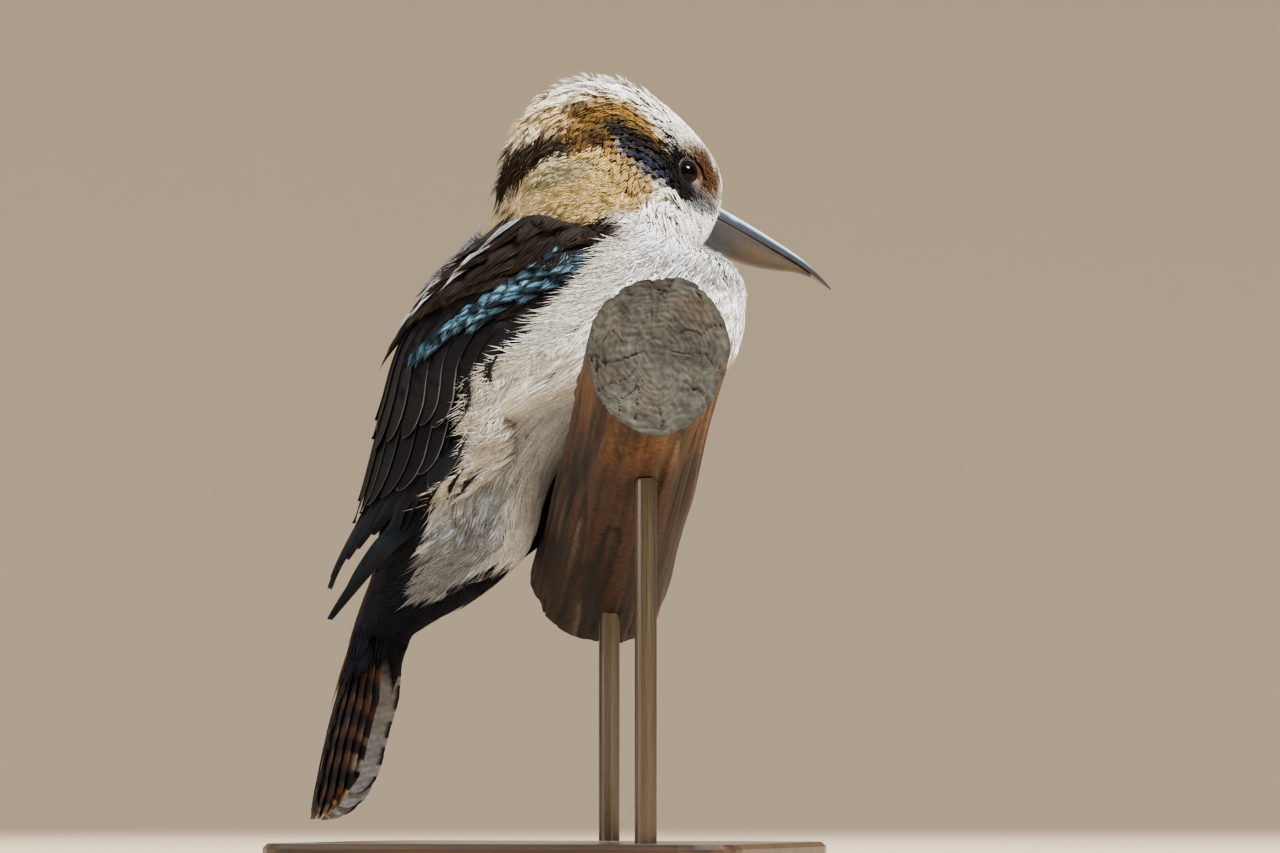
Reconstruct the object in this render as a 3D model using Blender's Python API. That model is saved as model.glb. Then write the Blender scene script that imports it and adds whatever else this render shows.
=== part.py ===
"""A laughing kookaburra, life size, perched on a short cut log that two rods hold over a flat base.

Bird coordinates are millimetres: +x forward, +y to the bird's left, +z up, measured from BIRD_PLACE.
The finished model is in metres with its origin on the underside of the base.
"""

import math

import bmesh
import bpy
import numpy as np

MM = 0.001
BIRD_PLACE = np.array([33.0, 22.0, 190.0])
GAP = 0.3
SEAT_GAP = 0.45

# Body keys, bill to tail: top (x, z), underside (x, z), half width, turn of the head in degrees.
HEAD_TURN = 43.0
NECK_X = -22.0
BODY_KEYS = np.array([
    (36.0, 99.5, 29.0, 80.5, 10.5, 1.00),
    (37.0, 110.0, 23.5, 75.0, 14.5, 1.00),
    (33.0, 119.5, 19.0, 71.0, 18.5, 1.00),
    (22.5, 131.0, 16.0, 68.0, 22.0, 1.00),
    (7.5, 142.0, 14.0, 65.5, 24.5, 1.00),
    (-9.0, 148.5, 14.0, 64.0, 27.0, 1.00),
    (-25.0, 149.0, 17.0, 63.5, 28.5, 1.00),
    (-40.0, 143.5, 21.0, 63.5, 29.5, 0.98),
    (-52.0, 132.0, 26.0, 64.0, 30.5, 0.95),
    (-58.5, 117.0, 31.0, 65.0, 32.5, 0.88),
    (-61.5, 102.0, 36.0, 65.0, 36.0, 0.74),
    (-64.5, 88.0, 40.5, 62.0, 40.5, 0.52),
    (-71.5, 76.0, 43.0, 56.5, 45.0, 0.28),
    (-81.5, 64.5, 43.5, 48.0, 48.5, 0.10),
    (-91.0, 50.0, 42.5, 38.0, 51.0, 0.00),
    (-99.0, 33.0, 38.5, 27.5, 52.5, 0.00),
    (-105.0, 14.0, 28.0, 20.0, 52.5, 0.00),
    (-109.0, -6.0, 10.0, 15.0, 50.5, 0.00),
    (-111.5, -23.0, -19.0, 9.0, 47.0, 0.00),
    (-113.5, -38.0, -42.0, -17.0, 42.0, 0.00),
    (-115.5, -50.0, -54.0, -51.0, 35.5, 0.00),
    (-118.0, -60.5, -75.0, -70.0, 28.5, 0.00),
    (-122.5, -72.0, -93.0, -80.0, 22.5, 0.00),
    (-126.5, -82.0, -106.0, -87.5, 18.0, 0.00),
])
HEAD_END = 9.0
NECK_END = 12.0
BODY_END = len(BODY_KEYS) - 1.0
BODY_SIDES = 26

# Wing carrier keys, shoulder to wing tip: the surface that the folded wing lies on.
# Top (x, z), middle (x, z), half width.
WING_KEYS = np.array([
    (-56.0, 94.0, -10.0, 80.0, 43.0),
    (-74.5, 73.5, -17.0, 60.0, 50.0),
    (-92.0, 56.0, -27.0, 40.0, 53.5),
    (-105.0, 35.0, -38.0, 20.0, 55.0),
    (-112.5, 11.5, -50.0, -1.0, 54.0),
    (-119.5, -14.0, -65.0, -24.0, 50.5),
    (-127.0, -39.0, -84.0, -46.0, 44.0),
    (-138.0, -64.0, -106.0, -68.0, 36.0),
    (-146.0, -88.0, -124.0, -90.0, 29.0),
])
# Each folded wing's lower edge and its edge along the back, in degrees round the carrier.
# The left wing hangs lower, so that its lower edge shows under the belly.
WING_EDGES = {
    "right": np.array([
        (101.0, 16.0), (91.0, 15.0), (80.0, 14.0), (77.0, 15.0), (84.0, 17.0),
        (85.0, 19.0), (71.0, 23.0), (55.0, 28.0), (40.0, 34.0),
    ]),
    "left": np.array([
        (101.0, 16.0), (95.0, 18.0), (94.0, 24.0), (98.0, 31.0), (107.0, 40.0),
        (118.0, 52.0), (128.0, 68.0), (131.0, 88.0), (128.0, 112.0),
    ]),
}
# The arm under the feathers: u, height over the carrier and depth under it; and its edge's thickness.
ARM_EDGE = 0.9
WING_ARM = (
    (0.0, 0.3, 2.2), (0.5, 1.2, 5.5), (1.8, 1.2, 5.5), (2.5, 0.0, 5.5), (2.9, -1.0, 5.5), (4.6, -1.6, 3.4),
)

BILL_MOUTH = 12.1
BILL_DROP = math.radians(2)
UPPER_BILL = np.array([
    # along, culmen height, mouth height, half width
    (0.0, 6.9, 0.0, 10.0),
    (8.0, 6.7, 0.0, 9.3),
    (18.0, 6.3, 0.0, 8.1),
    (29.0, 5.5, 0.0, 6.6),
    (39.0, 4.6, 0.0, 5.2),
    (48.0, 3.4, -0.2, 3.9),
    (56.0, 1.4, -1.2, 2.5),
    (62.0, -0.8, -2.2, 1.3),
    (65.5, -2.3, -2.9, 0.5),
])
LOWER_BILL = np.array([
    # along, mouth height, chin height, half width
    (0.0, 0.0, -9.8, 9.6),
    (8.0, 0.0, -10.9, 9.0),
    (18.0, 0.0, -11.0, 7.8),
    (28.0, 0.0, -9.4, 6.2),
    (38.0, 0.0, -6.4, 4.6),
    (47.0, -0.2, -3.2, 3.0),
    (54.0, -1.1, -2.0, 1.2),
])
BILL_POINTS, BILL_FULLNESS = 9, 0.85
NOSTRIL_ALONG, NOSTRIL_HEIGHT, NOSTRIL_OUT = 7.5, 3.6, 8.4
NOSTRIL_SIZE = (2.6, 1.6, 0.9)

EYE_CENTRE = (13.0, 17.2, 109.0)
EYE_RADIUS = 6.6
EYE_FACING = (0.36, 0.93, 0.06)
EYE_RINGS, EYE_SIDES = 10, 16
# The ring of lid round each eye: opening, thickness, how much longer than high, how deep it sits.
LID_RADIUS, LID_THICKNESS, LID_STRETCH, LID_SINK = 5.5, 1.15, 1.08, 0.2
LID_STEPS, LID_SIDES = 16, 6

# The log: its near cut end, the way it runs, its radius and length.
LOG_END = np.array([47.5, -123.0, 18.5])
LOG_WAY = np.array([-0.393, 0.835, -0.384])
LOG_RADIUS, LOG_LENGTH = 29.0, 215.0
LOG_SIDES, LOG_RINGS = 26, 10
# Uneven bark: depth, waves round the log, phase, millimetres along the log for each radian.
LOG_WAVES = ((0.9, 2, 0.6, 60.0), (0.6, 3, -1.1, -41.0), (0.4, 5, 0.0, 29.0))
LOG_CALM, LOG_CALM_REACH = 147.0, 38.0

FOOT_SPOTS = {"right": 118.0, "left": 149.0}
TOE_RADIUS, TOE_TAPER, TOE_KNUCKLE = 2.8, 0.22, 0.07
TOE_RINGS, TOE_SIDES = 7, 7
TOE_ARC = math.radians(44)
HALLUX_ARC = math.radians(-27)
CLAW_LENGTH, CLAW_GAP, CLAW_RADIUS, CLAW_TIP, CLAW_ARCH = 8.5, 0.55, 1.75, 0.22, 1.1
CLAW_RINGS = 6
HUB_ANGLE, HUB_RISE = math.radians(4), 4.7
HUB_SIZE = (4.3, 4.4, 4.6)
KNEE = (-6.0, 2.0, 32.0)
ANKLE_RADIUS, KNEE_RADIUS = 3.0, 8.5

# The ridge of the tail (x, 0, z), and the arch that its feathers lie on: its radius at root and tip.
TAIL_RIDGE = np.array([(-127.0, 0.0, -83.0), (-140.0, 0.0, -124.0), (-149.5, 0.0, -167.0)])
TAIL_LENGTH = 88.0
TAIL_ARCH = (19.6, 17.0)
TAIL_START = 2.5
TAIL_TIPS = (87.0, 86.5, 85.0, 82.0, 77.5, 70.5)
TAIL_WIDTHS = (7.6, 8.8, 9.8, 10.2, 10.2, 9.8)
TAIL_FIRST, TAIL_STEP = 8.5, 10.6
TAIL_LAYER = 1.18
TAIL_BOW, TAIL_THICKNESS = 18.0, 0.52
# Rows of points along a tail vane, the share of its width at each, and how far its root is drawn in.
TAIL_ROWS = (0.0, 0.4, 0.8, 0.94, 1.0)
TAIL_OUTLINE = (0.6, 0.92, 0.97, 0.72, 0.22)
TAIL_DRAWN_IN = 0.72
# The root of the tail: along the ridge, reach round the arch in degrees, top and bottom height.
TAIL_ROOT = ((5.0, 70.0, 1.6, -13.0), (10.0, 68.0, 1.0, -12.0), (16.0, 56.0, -2.0, -8.0))
TAIL_SIDES = 16

BASE_SIZE, BASE_CORNER, BASE_EASE = (206.0, 172.0, 14.0), 26.0, 2.0
ROD_RADIUS, ROD_SIDES = 4.5, 20
ROD_SPOTS = (42.0, 176.0)

COLOURS = {
    "buff_white": (0.80, 0.74, 0.62),
    "breast_white": (0.82, 0.80, 0.76),
    "wing_brown": (0.10, 0.075, 0.06),
    "tail_rufous": (0.32, 0.17, 0.10),
    "bill_dark": (0.06, 0.07, 0.09),
    "bill_horn": (0.42, 0.33, 0.25),
    "eye_dark": (0.02, 0.012, 0.01),
    "foot_grey": (0.35, 0.33, 0.27),
    "claw_dark": (0.05, 0.045, 0.04),
    "log_wood": (0.26, 0.12, 0.06),
    "stand_black": (0.03, 0.03, 0.032),
    "stand_steel": (0.55, 0.55, 0.56),
}


def clear_scene():
    for obj in list(bpy.data.objects):
        bpy.data.objects.remove(obj, do_unlink=True)


def material(name):
    found = bpy.data.materials.get(name)
    if found:
        return found
    found = bpy.data.materials.new(name)
    found.use_nodes = True
    shader = found.node_tree.nodes["Principled BSDF"]
    shader.inputs["Base Color"].default_value = (*COLOURS[name], 1.0)
    shader.inputs["Roughness"].default_value = 0.2 if name == "eye_dark" else 0.7
    shader.inputs["Metallic"].default_value = 1.0 if name == "stand_steel" else 0.0
    return found


def solid(name, points, faces, finish):
    """A closed mesh object, its faces turned outwards, from bird coordinates in millimetres."""
    mesh = bpy.data.meshes.new(name)
    placed = (np.asarray(points, float) + BIRD_PLACE) * MM
    mesh.from_pydata(placed.tolist(), [], [list(map(int, f)) for f in faces])
    shape = bmesh.new()
    shape.from_mesh(mesh)
    bmesh.ops.recalc_face_normals(shape, faces=shape.faces)
    if shape.calc_volume(signed=True) < 0:
        bmesh.ops.reverse_faces(shape, faces=shape.faces)
    shape.to_mesh(mesh)
    shape.free()
    obj = bpy.data.objects.new(name, mesh)
    obj.data.materials.append(material(finish))
    bpy.context.scene.collection.objects.link(obj)
    return obj


def unit(v):
    v = np.asarray(v, float)
    return v / np.linalg.norm(v, axis=-1, keepdims=True)


def spline(keys, u):
    """Catmull-Rom values at u, in key steps, through the rows of keys."""
    u = np.clip(np.asarray(u, float), 0, len(keys) - 1)
    i = np.minimum(u.astype(int), len(keys) - 2)
    t = (u - i)[..., None]
    last = len(keys) - 1
    a, b = keys[np.maximum(i - 1, 0)], keys[i]
    c, d = keys[i + 1], keys[np.minimum(i + 2, last)]
    return 0.5 * (
        2 * b + (c - a) * t + (2 * a - 5 * b + 4 * c - d) * t**2 + (3 * b - a - 3 * c + d) * t**3
    )


def turned(points, share):
    """Points turned about the upright neck axis by a share of the head's turn."""
    angle = np.radians(HEAD_TURN) * share
    x, y, z = points[..., 0] - NECK_X, points[..., 1], points[..., 2]
    return np.stack([
        NECK_X + x * np.cos(angle) - y * np.sin(angle),
        x * np.sin(angle) + y * np.cos(angle),
        z,
    ], axis=-1)


def body_ring(u, sides=BODY_SIDES, slide=0.0):
    """One flat section of the body at u, moved along its own normal by slide."""
    top_x, top_z, low_x, low_z, half, share = spline(BODY_KEYS, u)
    angle = np.linspace(0, 2 * np.pi, sides, endpoint=False)
    top, low = np.array([top_x, 0, top_z]), np.array([low_x, 0, low_z])
    points = (
        (top + low) / 2
        + np.cos(angle)[:, None] * (top - low) / 2
        - np.sin(angle)[:, None] * np.array([0, half, 0])
    )
    forward = unit(np.array([(top - low)[2], 0, -(top - low)[0]]))
    return turned(points + forward * slide, share)


def capped_loft(rings):
    """Points and faces of a tube through the rings, its ends closed by fans."""
    rings = np.asarray(rings)
    count, sides = rings.shape[:2]
    points = rings.reshape(-1, 3).tolist()
    faces = []
    for i in range(count - 1):
        for j in range(sides):
            a, b = i * sides + j, i * sides + (j + 1) % sides
            faces += [(a, b, b + sides), (a, b + sides, a + sides)]
    for ring, flip in ((0, True), (count - 1, False)):
        centre = len(points)
        points.append(rings[ring].mean(axis=0).tolist())
        for j in range(sides):
            a, b = ring * sides + j, ring * sides + (j + 1) % sides
            faces.append((b, a, centre) if flip else (a, b, centre))
    return points, faces


def body_part(name, start, end, steps, finish):
    """The body between two keys, its ends drawn in by half the gap."""
    stations = np.linspace(start, end, steps)
    rings = [
        body_ring(u, slide=-GAP / 2 * (k == 0) + GAP / 2 * (k == steps - 1))
        for k, u in enumerate(stations)
    ]
    return solid(name, *capped_loft(rings), finish)


def evaluated_mesh(obj):
    bpy.context.view_layer.update()
    graph = bpy.context.evaluated_depsgraph_get()
    return bpy.data.meshes.new_from_object(obj.evaluated_get(graph))


def keep_largest(obj):
    """Keeps the largest closed surface of the object's mesh."""
    shape = bmesh.new()
    shape.from_mesh(obj.data)
    bmesh.ops.triangulate(shape, faces=shape.faces)
    left = set(shape.faces)
    groups = []
    while left:
        stack = [left.pop()]
        group = set(stack)
        while stack:
            for edge in stack.pop().edges:
                # A hollow may touch the outside along an edge of four faces, which doesn't join them.
                for face in edge.link_faces if len(edge.link_faces) == 2 else ():
                    if face in left:
                        left.remove(face)
                        group.add(face)
                        stack.append(face)
        groups.append(group)

    def size(group):
        return abs(sum(f.verts[0].co.dot(f.verts[1].co.cross(f.verts[2].co)) for f in group))

    largest = max(groups, key=size)
    spare = [f for group in groups if group is not largest for f in group]
    bmesh.ops.delete(shape, geom=spare, context="FACES")
    shape.to_mesh(obj.data)
    shape.free()


def apply_boolean(obj, operation, other=None, collection=None):
    modifier = obj.modifiers.new("shape", "BOOLEAN")
    modifier.operation = operation
    modifier.solver = "EXACT"
    if collection is not None:
        modifier.operand_type = "COLLECTION"
        modifier.collection = collection
    else:
        modifier.object = other
    made = evaluated_mesh(obj)
    obj.modifiers.clear()
    obj.data = made


def fused(core, pieces):
    """Joins the pieces to the core in one union."""
    group = bpy.data.collections.new(core.name + "_pieces")
    bpy.context.scene.collection.children.link(group)
    for piece in pieces:
        bpy.context.scene.collection.objects.unlink(piece)
        group.objects.link(piece)
    apply_boolean(core, "UNION", collection=group)
    for piece in pieces:
        bpy.data.objects.remove(piece, do_unlink=True)
    bpy.data.collections.remove(group)
    keep_largest(core)
    return core


def cut_clear(obj, neighbour, gap=SEAT_GAP):
    """Cuts obj back from its neighbour, which is grown by the gap for the cut."""
    cutter = neighbour.copy()
    cutter.data = neighbour.data.copy()
    bpy.context.scene.collection.objects.link(cutter)
    shape = bmesh.new()
    shape.from_mesh(cutter.data)
    shape.normal_update()
    for vert in shape.verts:
        vert.co += vert.normal * gap * MM * vert.calc_shell_factor()
    shape.to_mesh(cutter.data)
    shape.free()
    apply_boolean(obj, "DIFFERENCE", other=cutter)
    bpy.data.objects.remove(cutter, do_unlink=True)
    keep_largest(obj)
    return obj


def slab(name, outer, inner, finish):
    """A closed sheet between two grids of points that match row by row."""
    outer, inner = np.asarray(outer), np.asarray(inner)
    rows, columns = outer.shape[:2]
    points = np.concatenate([outer.reshape(-1, 3), inner.reshape(-1, 3)])
    half = rows * columns
    faces = []
    for i in range(rows - 1):
        for j in range(columns - 1):
            a = i * columns + j
            b = a + columns
            faces += [(a, a + 1, b + 1), (a, b + 1, b)]
            faces += [(a + half, b + 1 + half, a + 1 + half), (a + half, b + half, b + 1 + half)]
    rim = list(range(columns))
    rim += [i * columns + columns - 1 for i in range(1, rows)]
    rim += [(rows - 1) * columns + j for j in range(columns - 2, -1, -1)]
    rim += [i * columns for i in range(rows - 2, 0, -1)]
    for a, b in zip(rim, rim[1:] + rim[:1]):
        faces += [(a, a + half, b + half), (a, b + half, b)]
    return solid(name, points, faces, finish)


def wing_point(u, angle, side, lift=0.0):
    """A point of the wing carrier: u in key steps, angle from the back in degrees, lift off it."""

    def at(u, angle):
        top_x, top_z, mid_x, mid_z, half = np.moveaxis(spline(WING_KEYS, u), -1, 0)
        a = np.radians(angle)
        return np.stack([
            mid_x + (top_x - mid_x) * np.cos(a),
            -half * np.sin(a),
            mid_z + (top_z - mid_z) * np.cos(a),
        ], axis=-1)

    u, angle = np.broadcast_arrays(np.asarray(u, float), np.asarray(angle, float))
    along = at(u + 0.05, angle) - at(u - 0.05, angle)
    across = at(u, angle + 1) - at(u, angle - 1)
    out = unit(np.cross(along, across))
    point = at(u, angle) + out * np.asarray(lift, float)[..., None]
    mirror = np.array([1, 1 if side == "right" else -1, 1])
    return point * mirror, out * mirror


def wing_angle(u, share, side):
    """Degrees round the carrier at a share across the wing: 0 at its lower edge, 1 along the back."""
    low, high = np.moveaxis(spline(WING_EDGES[side], u), -1, 0)
    return low + (high - low) * share


def vane(name, centre, out, half_width, thickness, tilt, bow, finish):
    """A feather vane: a thin plate along a centre line, bowed across and split alike on both faces.

    centre and out are rows of points and outward normals; tilt lifts one edge over its neighbour,
    and bow is the radius that the plate is bent to across its width.
    """
    along = unit(np.gradient(centre, axis=0))
    across = unit(np.cross(out, along))
    offset = np.linspace(-1, 1, VANE_COLUMNS)[None, :, None]
    wide = offset * half_width[:, None, None]
    rise = offset * tilt - wide**2 / (2 * bow)
    middle = centre[:, None] + wide * across[:, None] + rise * out[:, None]
    half = thickness[:, None, None] / 2 * out[:, None]
    return slab(name, middle + half, middle - half, finish)


def vane_outline(s, root=0.5, round_from=0.72):
    """Share of the full half width at s along the vane."""
    grown = root + (1 - root) * np.clip(s / 0.35, 0, 1) ** 0.7
    tip = np.clip((s - round_from) / (1 - round_from), 0, 1)
    return grown * np.sqrt(np.clip(1 - tip**2, 0.03, 1))


def wing_feather(name, side, root, tip, half_width, lifts, tilt, stations):
    s = np.array(VANE_ROWS[stations])
    u = root[0] + (tip[0] - root[0]) * s
    share = root[1] + (tip[1] - root[1]) * s
    lift = lifts[0] + (lifts[1] - lifts[0]) * np.clip(s / VANE_RISE, 0, 1)
    centre, out = wing_point(u, wing_angle(u, share, side), side, lift)
    thickness = VANE_THICKNESS - 0.05 * s
    lean = tilt if side == "right" else -tilt
    outline = half_width * vane_outline(s)
    return vane(name, centre, out, outline, thickness, lean, WING_BOW, "wing_brown")


# Where the rows of points lie along a vane, and where it has risen to its full lift.
VANE_ROWS = {4: (0.0, 0.22, 0.86, 1.0), 5: (0.0, 0.22, 0.54, 0.86, 1.0)}
VANE_RISE = 0.22
VANE_THICKNESS, VANE_COLUMNS = 0.56, 3
WING_BOW = 50.0

# The wing's feathers from the tip forward, each tier over the roots of the one before it: count; then
# first and last root as share across and u; first and last tip as share across and u; half width
# first and last; lift at root and tip; how far one edge is tilted up; rows of points.
WING_TIERS = {
    "primary": (6, (0.08, 0.62), (2.9, 3.4), (0.14, 0.9), (7.75, 6.2), (4.8, 6.0), (-2.4, -0.8), 0.9, 5),
    "secondary": (7, (0.06, 0.94), (2.4, 2.4), (0.06, 0.94), (5.2, 6.1), (7.2, 7.6), (-0.6, 1.0), 0.55, 4),
    "greater": (6, (0.07, 0.93), (1.75, 1.75), (0.07, 0.93), (3.9, 4.8), (7.6, 8.2), (-0.4, 2.6), 0.55, 5),
    "median": (6, (0.07, 0.93), (0.6, 0.7), (0.07, 0.93), (2.4, 3.4), (7.6, 8.2), (-0.4, 4.2), 0.6, 5),
    "scapular": (3, (0.56, 0.98), (0.2, 0.5), (0.56, 0.98), (1.3, 2.2), (8.2, 8.6), (-0.4, 5.6), 0.6, 4),
}


def tier_feathers(side):
    made = []
    for tier, (count, share0, u0, share1, u1, wide, lifts, tilt, stations) in WING_TIERS.items():
        for k in range(count):
            f = k / (count - 1)
            root = (u0[0] + (u0[1] - u0[0]) * f, share0[0] + (share0[1] - share0[0]) * f)
            tip = (u1[0] + (u1[1] - u1[0]) * f, share1[0] + (share1[1] - share1[0]) * f)
            half = wide[0] + (wide[1] - wide[0]) * f
            made.append(wing_feather(f"{tier}_{side}_{k}", side, root, tip, half, lifts, tilt, stations))
    return made


def wing_core(side):
    """The wing's arm and muscle: a slab on the carrier that the feathers root in."""
    outer, inner = [], []
    shares = np.linspace(0, 1, 7)
    edge = np.sin(np.pi * shares) ** 0.5
    for u, top, depth in WING_ARM:
        angle = wing_angle(u, shares, side)
        outer.append(wing_point(u, angle, side, top - ARM_EDGE * (1 - edge))[0])
        inner.append(wing_point(u, angle, side, (top - 2 * ARM_EDGE) * (1 - edge) - depth * edge)[0])
    return slab("wing_" + side, outer, inner, "wing_brown")


def bill_frame():
    """Origin, forward and up of the bill, from the body's first section."""
    top_x, top_z, low_x, low_z = BODY_KEYS[0][:4]
    up = unit([top_x - low_x, 0, top_z - low_z])
    origin = np.array([low_x, 0, low_z]) + up * BILL_MOUTH
    up = unit(up + np.array([up[2], 0, -up[0]]) * math.tan(BILL_DROP))
    forward = np.array([up[2], 0, -up[0]])
    return origin, forward, up


def bill_half(name, keys, upper, finish):
    origin, forward, up = bill_frame()
    angle = np.linspace(0, np.pi, BILL_POINTS)
    rings = []
    for along, high, low, half in keys:
        if upper:
            flat, crest = low + GAP / 2, high
        else:
            flat, crest = high - GAP / 2, low
        rise = flat + (crest - flat) * np.sin(angle) ** BILL_FULLNESS
        ring = (
            origin
            + forward * (along + GAP)
            + up * rise[:, None]
            + np.array([0, 1, 0]) * (half * np.cos(angle))[:, None]
        )
        rings.append(turned(ring, 1.0))
    return solid(name, *capped_loft(rings), finish)


def ball(name, centre, radii, axes, finish, rings=8, sides=12):
    """An ellipsoid on three axes, the first of them its pole."""
    polar = np.linspace(0, np.pi, rings + 1)[1:-1]
    around = np.linspace(0, 2 * np.pi, sides, endpoint=False)
    pole, second, third = [unit(a) for a in axes]
    points = [np.asarray(centre) + pole * radii[0]]
    for p in polar:
        for a in around:
            points.append(
                np.asarray(centre)
                + pole * radii[0] * math.cos(p)
                + second * radii[1] * math.sin(p) * math.cos(a)
                + third * radii[2] * math.sin(p) * math.sin(a)
            )
    points.append(np.asarray(centre) - pole * radii[0])
    faces = []
    last = len(points) - 1
    for j in range(sides):
        k = (j + 1) % sides
        faces.append((0, 1 + j, 1 + k))
        for i in range(rings - 2):
            a, b = 1 + i * sides + j, 1 + i * sides + k
            faces += [(a, a + sides, b + sides), (a, b + sides, b)]
        faces.append((last, last - sides + k, last - sides + j))
    return solid(name, points, faces, finish)


def eye_frame(side):
    sign = 1 if side == "left" else -1
    centre = turned(np.array([EYE_CENTRE[0], sign * EYE_CENTRE[1], EYE_CENTRE[2]]), 1.0)
    tip = turned(
        np.array([EYE_CENTRE[0], sign * EYE_CENTRE[1], EYE_CENTRE[2]])
        + np.array([EYE_FACING[0], sign * EYE_FACING[1], EYE_FACING[2]]),
        1.0,
    )
    facing = unit(tip - centre)
    level = unit(np.cross([0, 0, 1], facing))
    return centre, facing, level, np.cross(facing, level)


def add_eyes_and_lids(head):
    """Eyes in their sockets, with a ring of lid fused to the head round each."""
    for side in ("right", "left"):
        centre, facing, level, upright = eye_frame(side)
        around = np.linspace(0, 2 * np.pi, LID_STEPS, endpoint=False)
        small = np.linspace(0, 2 * np.pi, LID_SIDES, endpoint=False)
        reach = math.sqrt(EYE_RADIUS**2 - LID_RADIUS**2)
        points, faces = [], []
        for a in around:
            spoke = level * math.cos(a) * LID_STRETCH + upright * math.sin(a)
            for b in small:
                points.append(
                    centre
                    + facing * (reach + LID_THICKNESS * math.sin(b) - LID_SINK)
                    + spoke * (LID_RADIUS + LID_THICKNESS * (0.435 + math.cos(b)))
                )
        for i in range(LID_STEPS):
            for j in range(LID_SIDES):
                a, b = i * LID_SIDES + j, i * LID_SIDES + (j + 1) % LID_SIDES
                c, d = (a + LID_SIDES) % len(points), (b + LID_SIDES) % len(points)
                faces += [(a, b, d), (a, d, c)]
        lid = solid("lid_" + side, points, faces, "buff_white")
        fused(head, [lid])
        axes = (facing, level, upright)
        socket = ball("socket", centre, (EYE_RADIUS + GAP,) * 3, axes, "eye_dark", EYE_RINGS, EYE_SIDES)
        apply_boolean(head, "DIFFERENCE", other=socket)
        bpy.data.objects.remove(socket, do_unlink=True)
        keep_largest(head)
        ball("eye_" + side, centre, (EYE_RADIUS,) * 3, axes, "eye_dark", EYE_RINGS, EYE_SIDES)


def cut_nostrils(upper):
    origin, forward, up = bill_frame()
    for sign in (1, -1):
        where = (
            origin
            + forward * NOSTRIL_ALONG
            + up * NOSTRIL_HEIGHT
            + np.array([0, 1, 0]) * sign * NOSTRIL_OUT
        )
        nose = turned(np.array([where, where + forward, where + up, where + [0, 1, 0]]), 1.0)
        pit = ball(
            "pit", nose[0], NOSTRIL_SIZE,
            (nose[1] - nose[0], nose[2] - nose[0], nose[3] - nose[0]), "bill_dark", 6, 8,
        )
        apply_boolean(upper, "DIFFERENCE", other=pit)
        bpy.data.objects.remove(pit, do_unlink=True)
    keep_largest(upper)


def log_frame():
    way = unit(LOG_WAY)
    up = unit(np.array([0, 0, 1.0]) - way * way[2])
    front = np.cross(way, up)
    if front[0] < 0:
        front = -front
    return way, up, front


def log_radius(along, angle):
    """The log's radius, slightly uneven, and even where the feet stand."""
    calm = np.exp(-(((along - LOG_CALM) / LOG_CALM_REACH) ** 4))
    wave = sum(
        depth * np.sin(count * angle + phase + along / run) for depth, count, phase, run in LOG_WAVES
    )
    return LOG_RADIUS + wave * (1 - calm)


def log_point(along, angle, height=0.0):
    """A point over the log: along it, round it from its top towards the bird's front."""
    way, up, front = log_frame()
    reach = log_radius(along, angle) + height
    return (
        LOG_END
        + way * np.asarray(along)[..., None]
        + (up * np.cos(angle)[..., None] + front * np.sin(angle)[..., None]) * reach[..., None]
    )


def make_log():
    angle = np.linspace(0, 2 * np.pi, LOG_SIDES, endpoint=False)
    # The near end is sawn upright, not square to the log.
    slope = unit(LOG_WAY)[2] / math.hypot(*unit(LOG_WAY)[:2])
    upright = LOG_RADIUS * slope * np.cos(angle)
    rings = [
        log_point(along + upright * (1 - along / LOG_LENGTH), angle)
        for along in np.linspace(0, LOG_LENGTH, LOG_RINGS)
    ]
    return solid("perch_log", *capped_loft(rings), "log_wood")


def tube(name, path, radii, finish, sides=8):
    """A round tube with flat ends along a path."""
    path = np.asarray(path, float)
    along = unit(np.gradient(path, axis=0))
    angle = np.linspace(0, 2 * np.pi, sides, endpoint=False)
    guide = unit(np.cross(along[0], [0.1, 0.2, 1.0]))
    rings = []
    for point, way, radius in zip(path, along, radii):
        guide = unit(guide - way * np.dot(guide, way))
        other = np.cross(way, guide)
        rings.append(
            point
            + radius * (np.cos(angle)[:, None] * guide + np.sin(angle)[:, None] * other)
        )
    return solid(name, *capped_loft(rings), finish)


TOES = {
    # end angle round the log, sideways start and end, share of the toe radius
    "inner": (TOE_ARC * 0.86, 2.2, 8.5, 0.86),
    "middle": (TOE_ARC, 0.0, 0.6, 1.0),
    "outer": (TOE_ARC * 0.9, -2.4, -6.8, 0.9),
    "hind": (HALLUX_ARC, 0.6, 3.5, 0.95),
}


def toe_line(spot, toe, toward, start, stop, steps):
    """Points along one toe, from share start to share stop of its arc."""
    end_angle, side0, side1, size = TOES[toe]
    s = np.linspace(start, stop, steps)
    angle = HUB_ANGLE + (end_angle - HUB_ANGLE) * s
    along = spot + toward * (side0 + (side1 - side0) * s)
    return along, angle, size


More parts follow.
